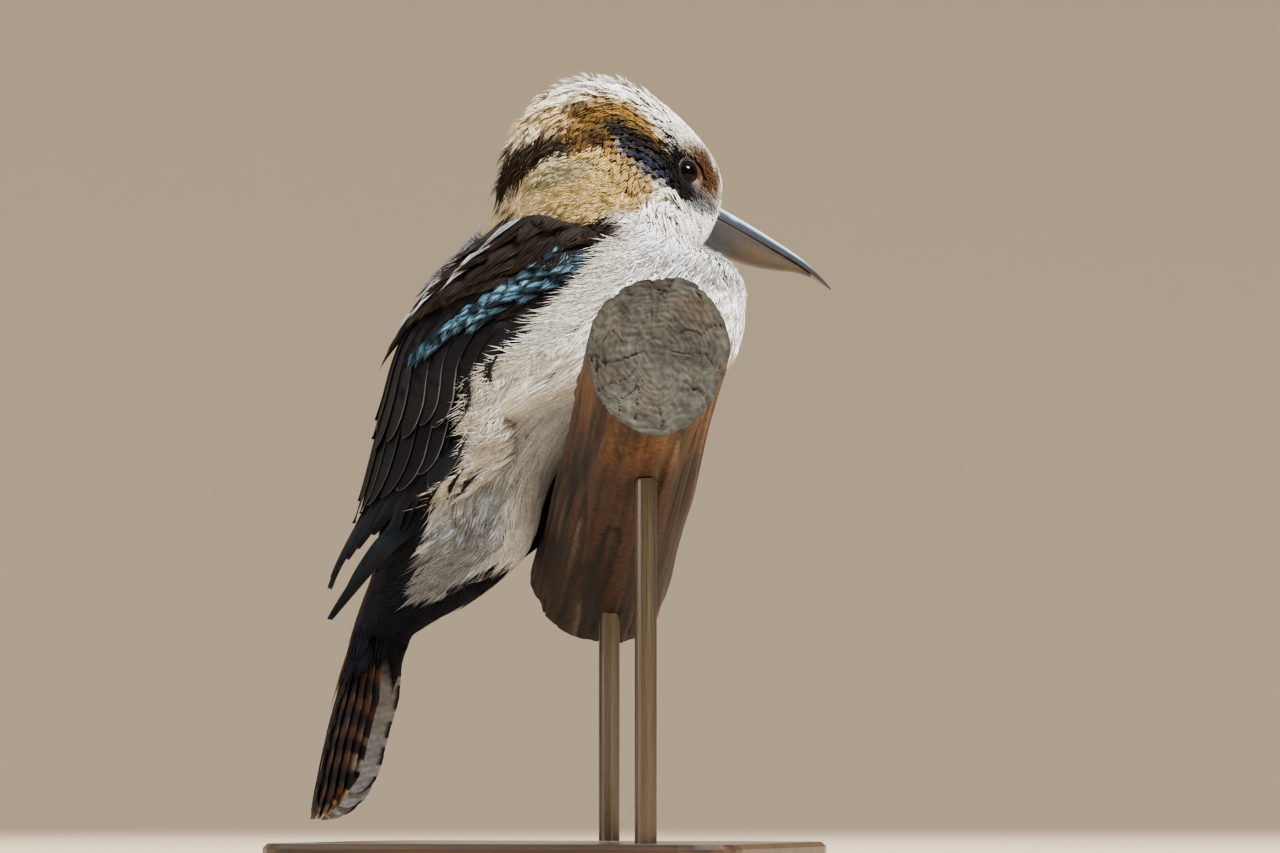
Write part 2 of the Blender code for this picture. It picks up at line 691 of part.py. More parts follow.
def make_foot(side, spot):
    """Toes, hub and claws of one foot on the log."""
    toward = -1.0 if side == "left" else 1.0
    pieces = []
    for toe in TOES:
        along, angle, size = toe_line(spot, toe, toward, 0.0, 1.0, TOE_RINGS)
        radius = TOE_RADIUS * size * (1 - TOE_TAPER * np.linspace(0, 1, TOE_RINGS))
        radius = radius * (1 + TOE_KNUCKLE * np.cos(np.linspace(0, 4 * np.pi, TOE_RINGS)))
        path = log_point(along, angle, radius + GAP)
        pieces.append(tube(f"toe_{toe}_{side}", path, radius, "foot_grey", TOE_SIDES))
        arc = abs(TOES[toe][0] - HUB_ANGLE) * (LOG_RADIUS + TOE_RADIUS)
        start, stop = 1 + CLAW_GAP / arc, 1 + (CLAW_GAP + CLAW_LENGTH) / arc
        along, angle, size = toe_line(spot, toe, toward, start, stop, CLAW_RINGS)
        t = np.linspace(0, 1, CLAW_RINGS)
        claw_radius = CLAW_RADIUS * size * (1 - t) ** 0.7 + CLAW_TIP
        # The claw arches over its first half and comes down to the bark at its tip.
        lift = radius[-1] + GAP + CLAW_ARCH * np.sin(np.pi * t * 0.9) - (radius[-1] - 0.5) * t**2
        tube(f"claw_{toe}_{side}", log_point(along, angle, lift), claw_radius, "claw_dark", TOE_SIDES)
    way, up, front = log_frame()
    centre = log_point(np.array(spot), np.array(HUB_ANGLE / 2), HUB_RISE)
    hub = ball("foot_" + side, centre, HUB_SIZE, (up, way, front), "foot_grey")
    return fused(hub, pieces), centre


def make_leg(side, hub_centre, torso, foot):
    """The lower leg, from the foot up into the belly plumage."""
    sign = 1 if side == "left" else -1
    t = np.linspace(0, 1, 9)
    path = hub_centre + np.array(KNEE) * [1, sign, 1] * t[:, None]
    radii = ANKLE_RADIUS + (KNEE_RADIUS - ANKLE_RADIUS) * np.clip(t / 0.45, 0, 1) ** 2
    leg = tube("leg_" + side, path, radii, "foot_grey", 12)
    cut_clear(leg, torso)
    cut_clear(leg, foot, GAP)
    return leg


def tail_point(along, angle, height):
    """A point of the tail: along its ridge, round the arch in degrees, and off the arch outwards."""
    t = 2 * np.asarray(along, float) / TAIL_LENGTH
    ridge = spline(TAIL_RIDGE, t)
    way = unit(spline(TAIL_RIDGE, t + 0.02) - spline(TAIL_RIDGE, t - 0.02))
    back = np.stack([way[..., 2], np.zeros_like(way[..., 0]), -way[..., 0]], axis=-1)
    radius = (TAIL_ARCH[0] + (TAIL_ARCH[1] - TAIL_ARCH[0]) * t / 2)[..., None]
    a = np.radians(np.asarray(angle, float))[..., None]
    out = back * np.cos(a) + np.array([0, 1.0, 0]) * np.sin(a)
    return ridge - back * radius + out * (radius + np.asarray(height)[..., None]), out


def tail_feather(index, sign):
    """One of six vanes on a side; the middle pair lies on top and the outer ones beneath."""
    s = np.array(TAIL_ROWS)
    spread = TAIL_DRAWN_IN + (1 - TAIL_DRAWN_IN) * np.clip(s / TAIL_ROWS[1], 0, 1)
    angle = sign * (TAIL_FIRST + TAIL_STEP * index) * spread
    layer = TAIL_LAYER * (index + (index > 0)) + (TAIL_LAYER / 2 if sign < 0 else 0.0) + GAP
    along = TAIL_START + (TAIL_TIPS[index] - TAIL_START) * s
    centre, out = tail_point(along, angle, -layer + 0 * s)
    half = TAIL_WIDTHS[index] * np.array(TAIL_OUTLINE)
    name = f"tail_vane_{index}_{sign}"
    return vane(name, centre, out, half, TAIL_THICKNESS + 0 * s, 0.0, TAIL_BOW, "tail_rufous")


def tail_core():
    """The root of the tail, which the vanes grow from; its front face meets the body."""
    around = np.linspace(0, 2 * np.pi, TAIL_SIDES, endpoint=False)
    rings = [body_ring(BODY_END, TAIL_SIDES, slide=-GAP)]
    for along, wide, top, bottom in TAIL_ROOT:
        angle = -wide * np.sin(around)
        height = (top + bottom) / 2 + (top - bottom) / 2 * np.cos(around)
        rings.append(tail_point(np.full(TAIL_SIDES, along), angle, height)[0])
    return solid("tail", *capped_loft(rings), "tail_rufous")


def make_tail():
    core = tail_core()
    pieces = [tail_feather(i, sign) for i in range(6) for sign in (1, -1)]
    return fused(core, pieces)


def rounded_plate(name, size, corner, finish):
    """The base: a flat plate with round corners and an eased top edge."""
    half_x, half_y = size[0] / 2 - corner, size[1] / 2 - corner
    outline = []
    for quarter, (sx, sy) in enumerate(((1, 1), (-1, 1), (-1, -1), (1, -1))):
        for a in np.linspace(0, math.pi / 2, 7):
            turn = a + quarter * math.pi / 2
            outline.append((sx * half_x, sy * half_y, math.cos(turn), math.sin(turn)))
    rings = []
    for inset, z in ((0.0, 0.0), (0.0, size[2] - BASE_EASE), (BASE_EASE, size[2])):
        rings.append([
            (x + (corner - inset) * c, y + (corner - inset) * s, z)
            for x, y, c, s in outline
        ])
    return solid(name, *capped_loft(np.array(rings) - BIRD_PLACE), finish)


def make_rod(index, along, log):
    top = LOG_END + unit(LOG_WAY) * along
    base_top = BASE_SIZE[2] - BIRD_PLACE[2] + GAP
    path = [(top[0], top[1], z) for z in np.linspace(base_top, top[2], 3)]
    rod = tube(f"stand_rod_{index}", path, [ROD_RADIUS] * 3, "stand_steel", ROD_SIDES)
    return cut_clear(rod, log, GAP)


def main():
    clear_scene()
    log = make_log()
    head = body_part("head", 0.0, HEAD_END, 17, "buff_white")
    neck = body_part("neck", HEAD_END, NECK_END, 6, "buff_white")
    torso = body_part("torso", NECK_END, BODY_END, 20, "breast_white")
    cut_clear(torso, log)
    add_eyes_and_lids(head)
    upper = bill_half("bill_upper", UPPER_BILL, True, "bill_dark")
    cut_nostrils(upper)
    bill_half("bill_lower", LOWER_BILL, False, "bill_horn")
    for side in ("right", "left"):
        foot, centre = make_foot(side, FOOT_SPOTS[side])
        make_leg(side, centre, torso, foot)
        wing = fused(wing_core(side), tier_feathers(side))
        for neighbour in (torso, neck, log):
            cut_clear(wing, neighbour)
    make_tail()
    rounded_plate("stand_base", BASE_SIZE, BASE_CORNER, "stand_black")
    for index, along in enumerate(ROD_SPOTS, 1):
        make_rod(index, along, log)


if __name__ == "__main__":
    main()
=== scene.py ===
import math

import bpy
import numpy as np
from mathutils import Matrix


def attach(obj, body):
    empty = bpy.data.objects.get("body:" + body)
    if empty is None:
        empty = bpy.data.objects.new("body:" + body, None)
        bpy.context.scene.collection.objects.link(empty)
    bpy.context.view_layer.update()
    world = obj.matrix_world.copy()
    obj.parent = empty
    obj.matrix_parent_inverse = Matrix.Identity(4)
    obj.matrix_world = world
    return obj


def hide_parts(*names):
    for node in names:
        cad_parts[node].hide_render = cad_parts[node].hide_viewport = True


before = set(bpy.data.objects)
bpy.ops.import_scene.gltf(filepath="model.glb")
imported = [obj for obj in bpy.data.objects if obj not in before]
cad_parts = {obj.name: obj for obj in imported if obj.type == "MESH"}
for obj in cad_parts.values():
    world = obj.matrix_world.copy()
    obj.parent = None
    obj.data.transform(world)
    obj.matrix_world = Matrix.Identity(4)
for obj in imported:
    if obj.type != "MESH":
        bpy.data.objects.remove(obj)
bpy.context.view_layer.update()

# A laughing kookaburra, life size, on a cut log. Bird places are millimetres: x forward, y to the
# bird's left, z up, measured from birdPlace, and turned into metres when a mesh is made.
mm = 0.001
birdPlace = np.array([33.0, 22.0, 190.0])


# numbers and shapes


def fixed(value):
    # the same value at every place
    return lambda u, v: value + 0 * u


def unit(v):
    return v / np.maximum(np.linalg.norm(v, axis=-1, keepdims=True), 1e-9)


def smoothKeys(keys, u):
    # a curve through the rows of keys: each stretch a cubic whose slope at a row is half the
    # difference of its neighbours
    keys = np.asarray(keys, float)
    last = len(keys) - 1
    u = np.clip(np.asarray(u, float), 0, last)
    i = np.minimum(u.astype(int), last - 1)
    t = (u - i)[..., None]
    a, b = keys[np.maximum(i - 1, 0)], keys[i]
    c, d = keys[i + 1], keys[np.minimum(i + 2, last)]
    return 0.5 * (2 * b + (c - a) * t + (2 * a - 5 * b + 4 * c - d) * t**2 + (3 * b - a - 3 * c + d) * t**3)


def clamp(x, high=1.0):
    return np.clip(x, 0, high)


def ease(x):
    # 0 below 0, 1 above 1, and a smooth rise between
    x = clamp(x)
    return x * x * (3 - 2 * x)


def mixRows(a, b, f):
    # a where f is 0, b where it is 1
    a = np.asarray(a, float)
    return a + (np.asarray(b) - a) * np.asarray(f)[..., None]


def paint(colour, tones, layers):
    # lays tones over a colour, one after another, each by its own share; a tone may be given by name
    for tone, share in layers:
        colour = mixRows(colour, tones[tone] if isinstance(tone, str) else tone, share)
    return colour


def places(x, y, z):
    # three coordinates of any matching shapes as one array of points
    return np.stack(np.broadcast_arrays(x, y, z), -1)


def shareOf(x, ends):
    return (x - ends[0]) / (ends[1] - ends[0])


def readTable(table, i, j):
    # the table's value at shares of its height and width, blended from its four nearest places
    rows, columns = table.shape
    i, j = clamp(i * (rows - 1), rows - 1.001), clamp(j * (columns - 1), columns - 1.001)
    i0, j0 = i.astype(int), j.astype(int)
    fi, fj = i - i0, j - j0
    low = table[i0, j0] * (1 - fj) + table[i0, j0 + 1] * fj
    high = table[i0 + 1, j0] * (1 - fj) + table[i0 + 1, j0 + 1] * fj
    return low * (1 - fi) + high * fi


def cloud(points, size, seed=0):
    # soft random field from -1 to 1: random values on a cubic lattice of the given size, blended
    # smoothly between its corners
    q = np.asarray(points, float) / size + 100.0
    i = np.floor(q).astype(np.int64)
    f = q - i
    f = f * f * (3 - 2 * f)
    total = 0
    for dx, dy, dz in np.ndindex(2, 2, 2):
        h = (i[..., 0] + dx) * 73856093 ^ (i[..., 1] + dy) * 19349663 ^ (i[..., 2] + dz) * 83492791
        h = (h + seed * 7919) * 2654435761 & 0xFFFFFFFF
        h = (h ^ h >> 15) * 2246822519 & 0xFFFFFFFF
        value = (h ^ h >> 13 & 0xFFFF) % 65536 / 32767.5 - 1
        part = np.where(dx, f[..., 0], 1 - f[..., 0]) * np.where(dy, f[..., 1], 1 - f[..., 1])
        total = total + value * part * np.where(dz, f[..., 2], 1 - f[..., 2])
    return total


def evenPairs(count, seed):
    # pairs from 0 to 1 that fill the square evenly: steps by the two powers of the plastic number
    k = np.arange(count)[:, None] + 1.0
    steps = np.array([0.7548776662, 0.5698402910])
    return (0.5 + seed * 0.137 + k * steps) % 1.0


def makeMesh(name, points, faces, maps=None, colours=None, material=None):
    # faces is a list of arrays of corner numbers, one array for each number of corners
    mesh = bpy.data.meshes.new(name)
    points = (np.asarray(points, float).reshape(-1, 3) + birdPlace) * mm
    loops = np.concatenate([f.reshape(-1) for f in faces]).astype(np.int32)
    sizes = np.concatenate([np.full(len(f), f.shape[1]) for f in faces]).astype(np.int32)
    mesh.vertices.add(len(points))
    mesh.vertices.foreach_set("co", points.astype(np.float32).reshape(-1))
    mesh.loops.add(len(loops))
    mesh.loops.foreach_set("vertex_index", loops)
    mesh.polygons.add(len(sizes))
    starts = np.concatenate([[0], np.cumsum(sizes)[:-1]]).astype(np.int32)
    mesh.polygons.foreach_set("loop_start", starts)
    mesh.polygons.foreach_set("use_smooth", np.ones(len(sizes), bool))
    for mapName, values in (maps or {}).items():
        layer = mesh.uv_layers.new(name=mapName)
        values = np.asarray(values, np.float32)
        if len(values) == len(points):
            values = values[loops]
        layer.data.foreach_set("uv", values.reshape(-1))
    for colourName, values in (colours or {}).items():
        layer = mesh.color_attributes.new(colourName, "FLOAT_COLOR", "POINT")
        values = np.asarray(values, float).reshape(-1, 3)
        full = np.concatenate([np.clip(values, 0, 1), np.ones((len(values), 1))], axis=1)
        layer.data.foreach_set("color", full.astype(np.float32).reshape(-1))
    mesh.update(calc_edges=True)
    mesh.validate()
    obj = bpy.data.objects.new(name, mesh)
    bpy.context.scene.collection.objects.link(obj)
    if material:
        mesh.materials.append(material)
    return obj


def tubeArrays(rings, flip=False):
    # a closed skin over rings of points: quads between rings, and a fan to the middle of each end
    rings = np.asarray(rings, float)
    rows, sides = rings.shape[:2]
    i, j = np.meshgrid(np.arange(rows - 1), np.arange(sides), indexing="ij")
    k = (j + 1) % sides
    row, after = i * sides, (i + 1) * sides
    quads = np.stack([row + j, row + k, after + k, after + j], -1).reshape(-1, 4)
    u0, u1 = i / (rows - 1), (i + 1) / (rows - 1)
    v0, v1 = j / sides, (j + 1) / sides
    quadMap = np.stack([u0, v0, u0, v1, u1, v1, u1, v0], -1).reshape(-1, 4, 2)
    points = np.concatenate([rings.reshape(-1, 3), rings[0].mean(0)[None], rings[-1].mean(0)[None]])
    n, ring = rows * sides, np.arange(sides)
    after = (ring + 1) % sides
    start = np.stack([after, ring, np.full(sides, n)], -1)
    stop = np.stack([(rows - 1) * sides + ring, (rows - 1) * sides + after, np.full(sides, n + 1)], -1)
    capMap = []
    for edge in (0.0, 1.0):
        a, b = ring / sides, (ring + 1) / sides
        if edge == 0.0:
            a, b = b, a
        e = np.full(sides, edge)
        capMap.append(np.stack([e, a, e, b, e, (a + b) / 2], -1).reshape(-1, 3, 2))
    tris, triMap = np.concatenate([start, stop]), np.concatenate(capMap)
    if flip:
        quads, quadMap = quads[:, ::-1], quadMap[:, ::-1]
        tris, triMap = tris[:, ::-1], triMap[:, ::-1]
    uv = np.concatenate([quadMap.reshape(-1, 2), triMap.reshape(-1, 2)])
    return points, [quads, tris], uv


def capRows(values, rows, sides):
    # values on a grid of rings, with the mean of each end ring added for the two middle points
    values = np.asarray(values, float).reshape(rows, sides, -1)
    return np.concatenate([values.reshape(rows * sides, -1), values[:1].mean(1), values[-1:].mean(1)])


def tubeObject(name, rings, material, colour=None, flip=False):
    rows, sides = np.asarray(rings).shape[:2]
    points, faces, uv = tubeArrays(rings, flip)
    colours = {"plumage": capRows(colour, rows, sides)} if colour is not None else None
    return makeMesh(name, points, faces, {"OFBake": uv * 0.98 + 0.01}, colours, material)


# materials


def startMaterial(name, roughness, **sockets):
    material = bpy.data.materials.new(name)
    material.use_nodes = True
    shader = material.node_tree.nodes["Principled BSDF"]
    shader.inputs["Roughness"].default_value = roughness
    for socket, value in sockets.items():
        shader.inputs[socket.replace("_", " ")].default_value = value
    return material, shader


def addNode(material, kind, inputs=None, **settings):
    # one node; an input given as a node or a (node, socket) pair is linked, anything else is set
    tree = material.node_tree
    node = tree.nodes.new("ShaderNode" + kind)
    for key, value in settings.items():
        setattr(node, key, value)
    for key, value in (inputs or {}).items():
        if isinstance(value, bpy.types.Node):
            value = value.outputs[0]
        if isinstance(value, tuple) and isinstance(value[0], bpy.types.Node):
            value = value[0].outputs[value[1]]
        if isinstance(value, bpy.types.NodeSocket):
            tree.links.new(value, node.inputs[key])
        else:
            node.inputs[key].default_value = value
    return node


def addRamp(material, factor, stops):
    ramp = addNode(material, "ValToRGB", {"Fac": factor})
    while len(ramp.color_ramp.elements) < len(stops):
        ramp.color_ramp.elements.new(0.5)
    for element, (place, colour) in zip(ramp.color_ramp.elements, stops):
        element.position = place
        element.color = (*colour, 1.0)
    return ramp


def greyStops(stops):
    return [(place, (level, level, level)) for place, level in stops]


def linkTo(material, shader, socket, output):
    material.node_tree.links.new(output, shader.inputs[socket])


def addPattern(material, kind, scale, stretch=None, turn=(0.0, 0.0, 0.0), output="Fac", **inputs):
    # a pattern over Object coordinates, stretched and turned where asked
    vector = (addNode(material, "TexCoord"), "Object")
    if stretch:
        vector = addNode(material, "Mapping", {"Vector": vector, "Rotation": turn, "Scale": stretch})
    return addNode(material, kind, {"Vector": vector, "Scale": scale, **inputs}).outputs[output]


def tintShader(material, shader, factor, stops):
    # the base colour: the one kept with the mesh, times a grey ramp over a pattern
    colour = addNode(material, "Attribute", attribute_name="plumage")
    shade = addRamp(material, factor, greyStops(stops))
    mixed = addNode(material, "Mix", {0: 1.0, 6: (colour, "Color"), 7: (shade, "Color")},
                    data_type="RGBA", blend_type="MULTIPLY")
    linkTo(material, shader, "Base Color", mixed.outputs[2])


def addBump(material, shader, height, strength, distance, **settings):
    bump = addNode(material, "Bump", {"Height": height, "Strength": strength, "Distance": distance}, **settings)
    linkTo(material, shader, "Normal", bump.outputs[0])


def plumageMaterial(name, roughness, sheen, grain, barbs=0.0, specular=0.35):
    # the feather's own colour, broken up by a fine grain, with barbs as slanting lines where asked
    material, shader = startMaterial(
        name, roughness, Sheen_Weight=sheen, Sheen_Roughness=0.4, Specular_IOR_Level=specular
    )
    height = addPattern(material, "TexNoise", grain, Detail=3.0)
    tintShader(material, shader, height, ((0.25, 0.72), (0.55, 1.0), (0.8, 1.25)))
    if barbs:
        vane = addNode(material, "UVMap", uv_map="vane")
        lines = {"Vector": vane, "Scale": barbs, "Distortion": 1.5, "Detail": 2.0}
        height = (addNode(material, "TexWave", lines), "Fac")
    addBump(material, shader, height, 0.35, 0.0004)
    return material


print("materials")
coatMaterial = plumageMaterial("softFeathers", 0.75, 0.02, 900.0, specular=0.18)
wingMaterial = plumageMaterial("wingVanes", 0.5, 0.0, 500.0, barbs=14.0, specular=0.2)
tailMaterial = plumageMaterial("tailVanes", 0.55, 0.0, 500.0, barbs=14.0, specular=0.22)


# the body's shape

# bill to tail: top (x, z), underside (x, z), half width, share of the head's turn
bodyKeys = np.array([
    (36.0, 99.5, 29.0, 80.5, 10.5, 1.00),
    (37.0, 110.0, 23.5, 75.0, 14.5, 1.00),
    (33.0, 119.5, 19.0, 71.0, 18.5, 1.00),
    (22.5, 131.0, 16.0, 68.0, 22.0, 1.00),
    (7.5, 142.0, 14.0, 65.5, 24.5, 1.00),
    (-9.0, 148.5, 14.0, 64.0, 27.0, 1.00),
    (-25.0, 149.0, 17.0, 63.5, 28.5, 1.00),
    (-40.0, 143.5, 21.0, 63.5, 29.5, 0.98),
    (-52.0, 132.0, 26.0, 64.0, 30.5, 0.95),
    (-58.5, 117.0, 31.0, 65.0, 32.5, 0.88),
    (-61.5, 102.0, 36.0, 65.0, 36.0, 0.74),
    (-64.5, 88.0, 40.5, 62.0, 40.5, 0.52),
    (-71.5, 76.0, 43.0, 56.5, 45.0, 0.28),
    (-81.5, 64.5, 43.5, 48.0, 48.5, 0.10),
    (-91.0, 50.0, 42.5, 38.0, 51.0, 0.00),
    (-99.0, 33.0, 38.5, 27.5, 52.5, 0.00),
    (-105.0, 14.0, 28.0, 20.0, 52.5, 0.00),
    (-109.0, -6.0, 10.0, 15.0, 50.5, 0.00),
    (-111.5, -23.0, -19.0, 9.0, 47.0, 0.00),
    (-113.5, -38.0, -42.0, -17.0, 42.0, 0.00),
    (-115.5, -50.0, -54.0, -51.0, 35.5, 0.00),
    (-118.0, -60.5, -75.0, -70.0, 28.5, 0.00),
    (-122.5, -72.0, -93.0, -80.0, 22.5, 0.00),
    (-126.5, -82.0, -106.0, -87.5, 18.0, 0.00),
])
bodyEnd = len(bodyKeys) - 1.0
pastEnd = np.array([-3.4, -10.4, -3.4, -10.4, -0.9, 0.0])
headTurn, neckX = math.radians(43.0), -22.0


def turnHead(points, share=1.0):
    # points turned to the bird's left about the upright axis of its neck
    angle = headTurn * np.asarray(share)
    x, y = points[..., 0] - neckX, points[..., 1]
    return np.stack([
        neckX + x * np.cos(angle) - y * np.sin(angle),
        x * np.sin(angle) + y * np.cos(angle),
        points[..., 2],
    ], axis=-1)


def bodyRaw(u, v):
    # a ring of the body: the middle of top and underside, plus cos v of the way to the top, less
    # sin v of the half width towards the right; past the last key it runs straight on over the tail
    values = smoothKeys(bodyKeys, u) + np.clip(u - bodyEnd, 0, 5.0)[..., None] * pastEnd
    topX, topZ, lowX, lowZ, half, share = np.moveaxis(values, -1, 0)
    x = (topX + lowX) / 2 + np.cos(v) * (topX - lowX) / 2
    z = (topZ + lowZ) / 2 + np.cos(v) * (topZ - lowZ) / 2
    return turnHead(np.stack([x, -np.sin(v) * half, z], -1), share)


def bodyPoint(u, v, lift=0.0):
    # a point of the body raised along its normal, with that normal
    u, v = np.broadcast_arrays(np.asarray(u, float), np.asarray(v, float))
    along = bodyRaw(u + 0.03, v) - bodyRaw(u - 0.03, v)
    around = bodyRaw(u, v + 0.03) - bodyRaw(u, v - 0.03)
    out = unit(np.cross(along, around))
    return bodyRaw(u, v) + out * np.asarray(lift)[..., None], out


# the log: its near cut end, the way it runs, its radius and length, as the frame's node has them
logEnd, logWay = np.array([47.5, -123.0, 18.5]), unit(np.array([-0.393, 0.835, -0.384]))
logUp = unit(np.array([0, 0, 1.0]) - logWay * logWay[2])
logFront = np.cross(logUp, logWay)
logFront = logFront * np.sign(logFront[0])
logRadius, logLength = 29.0, 215.0


def clearOfLog(points, room=0.6):
    # points that would lie in the log are moved straight out to just over its surface
    along = (points - logEnd) @ logWay
    away = points - logEnd - along[..., None] * logWay
    reach = np.linalg.norm(away, axis=-1)
    inside = (reach < logRadius + room) & (along > -4) & (along < logLength + 4)
    push = np.where(inside, (logRadius + room) / np.maximum(reach, 1e-6), 1.0)
    return logEnd + along[..., None] * logWay + away * push[..., None]


# markings

# the plumage's colours, as red, green and blue shares of the light given back; some of them
# are painted light and shade, marked where they stand
plumageTones = {
    "white": (0.92, 0.89, 0.83),
    "cream": (0.88, 0.76, 0.53),
    "gold": (0.30, 0.175, 0.052),
    "brow": (0.085, 0.062, 0.030),
    "rufous": (0.080, 0.040, 0.018),
    # painted shade along the crease of the cheek's feathers
    "fold": (0.13, 0.10, 0.065),
    "lore": (0.075, 0.038, 0.016),
    "band": (0.038, 0.026, 0.017),
    "black": (0.010, 0.009, 0.010),
    "slate": (0.028, 0.033, 0.055),
    "mauve": (0.20, 0.19, 0.21),
    "olive": (0.60, 0.455, 0.22),
    "oliveShade": (0.40, 0.29, 0.12),
    "greyGreen": (0.26, 0.26, 0.19),
    # painted light: the breast's white is tinted blue for the cool light falling on it
    "breast": (0.83, 0.87, 0.92),
    "flank": (0.84, 0.82, 0.74),
    # painted shade: the grey laid over the pale vent
    "paintedVentShade": (0.20, 0.225, 0.26),
    "back": (0.034, 0.022, 0.016),
    "rump": (0.15, 0.065, 0.030),
    "farWing": (0.011, 0.013, 0.024),
    "bristle": (0.17, 0.19, 0.24),
    "crescent": (0.28, 0.26, 0.23),
}
stepAlong, stepAround = 14.0, 0.45  # millimetres for a step of u, and for a degree round the head


def spot(u, w, centre, reach):
    # a soft round patch: 1 at its centre and fading as a bell with the distance over the reach
    along, around = (u - centre[0]) * stepAlong / reach[0], (w - centre[1]) * stepAround / reach[1]
    return np.exp(-(along**2) - around**2)


def trail(u, w, line, reach):
    # a soft band along a line of (u, degrees, width share): 1 on it, 0 at the reach
    best = np.zeros_like(u)
    for (u0, w0, r0), (u1, w1, r1) in zip(line[:-1], line[1:]):
        dx, dy = (u1 - u0) * stepAlong, (w1 - w0) * stepAround
        px, py = (u - u0) * stepAlong, (w - w0) * stepAround
        t = np.clip((px * dx + py * dy) / (dx * dx + dy * dy), 0, 1)
        away = np.hypot(px - t * dx, py - t * dy) / (reach * (r0 + (r1 - r0) * t))
        best = np.maximum(best, ease(1.6 - 1.1 * away))
    return best


# edges between markings, as degrees from the top and the u where the marking starts or ends
bandStart = ((0, 15, 27, 40, 49, 62), (9.28, 9.15, 8.72, 8.45, 8.2, 8.0))
bandStop = ((0, 21, 25, 27, 35, 41, 49, 58, 62), (10.75, 10.5, 10.2, 9.85, 9.43, 9.0, 8.55, 8.15, 8.0))
oliveStart = (
    (0, 21, 27, 35, 41, 49, 62, 74, 85, 95, 107),
    (10.8, 10.5, 9.8, 9.4, 8.95, 8.5, 7.95, 7.4, 7.1, 7.05, 6.5),
)
ventStop = (
    (70, 80, 86, 88, 90, 102, 127, 141, 147, 157, 180),
    (17.6, 18.2, 18.9, 19.6, 20.3, 21.2, 21.6, 21.2, 20.8, 20.5, 20.3),
)
mantleStart = ((0, 32, 38, 43, 49, 63, 77, 92), (12.4, 11.8, 11.5, 11.3, 11.05, 10.7, 10.3, 10.15))
# lower edges of the olive neck and of the white cap, as u and degrees from the top
oliveLow = ((5.8, 6.45, 7.45, 9.28, 10.1, 11.0, 12.0), (103, 101, 98, 91, 78, 68, 60))
capEdge = ((4.3, 4.58, 4.83, 5.12, 5.45, 6.12, 7.15, 7.95, 8.22, 8.5), (80, 73, 66, 55, 42, 33, 27, 14, 4, -6))
# lines that trail() follows, as u, degrees from the top and share of the reach
browLine = [(7.25, 54, 0.5), (6.65, 61, 1.0), (6.2, 68, 1.1), (5.6, 74, 0.9), (5.0, 79, 0.6)]
browShade = [(4.9, 62, 0.6), (4.45, 70, 1.1), (3.7, 68, 1.0), (3.3, 56, 0.6)]
neckShade = [(8.6, 62, 0.6), (9.3, 48, 1.0), (10.1, 34, 0.7)]
foldPatch = [(7.1, 59, 0.3), (6.95, 69, 0.95), (6.7, 78, 1.2), (6.1, 84, 1.05), (5.3, 88, 0.85), (4.4, 94, 0.5)]
foldRim = [(7.3, 66, 0.5), (7.25, 77, 1.0), (6.9, 86, 1.1), (6.0, 90.5, 1.0), (4.95, 94.5, 0.8), (4.1, 98, 0.6)]
# painted shadow: a dark line along the top of the slate patch behind the eye
foldShadowLine = [(7.15, 56, 0.7), (6.75, 62, 1.0), (6.3, 69, 1.2), (5.7, 76, 1.0), (5.0, 82, 1.2)]
cheekStrip = [
    (6.7, 91, 0.4), (6.1, 95, 0.8), (5.25, 100, 1.2), (3.7, 104, 1.2), (2.5, 109, 1.2), (0.8, 112, 1.2),
]
# painted shade: the line of the crease where the cheek's feathers fold over
cheekFoldShade = [(7.7, 87, 0.5), (7.1, 94, 0.9), (6.3, 101, 1.0), (5.3, 106, 0.8), (4.4, 109, 0.5)]
bristleLine = [(3.4, 95, 0.8), (2.4, 88, 1.1), (1.3, 76, 1.1), (0.3, 50, 1.2)]


def angleFromTop(v):
    return np.degrees(np.abs((v + np.pi) % (2 * np.pi) - np.pi))


def isDark(u, w):
    # past the ragged end of the vent feathers, where the far wing and the tail's root show
    return ease((u - np.interp(w, *ventStop)) / 0.16)


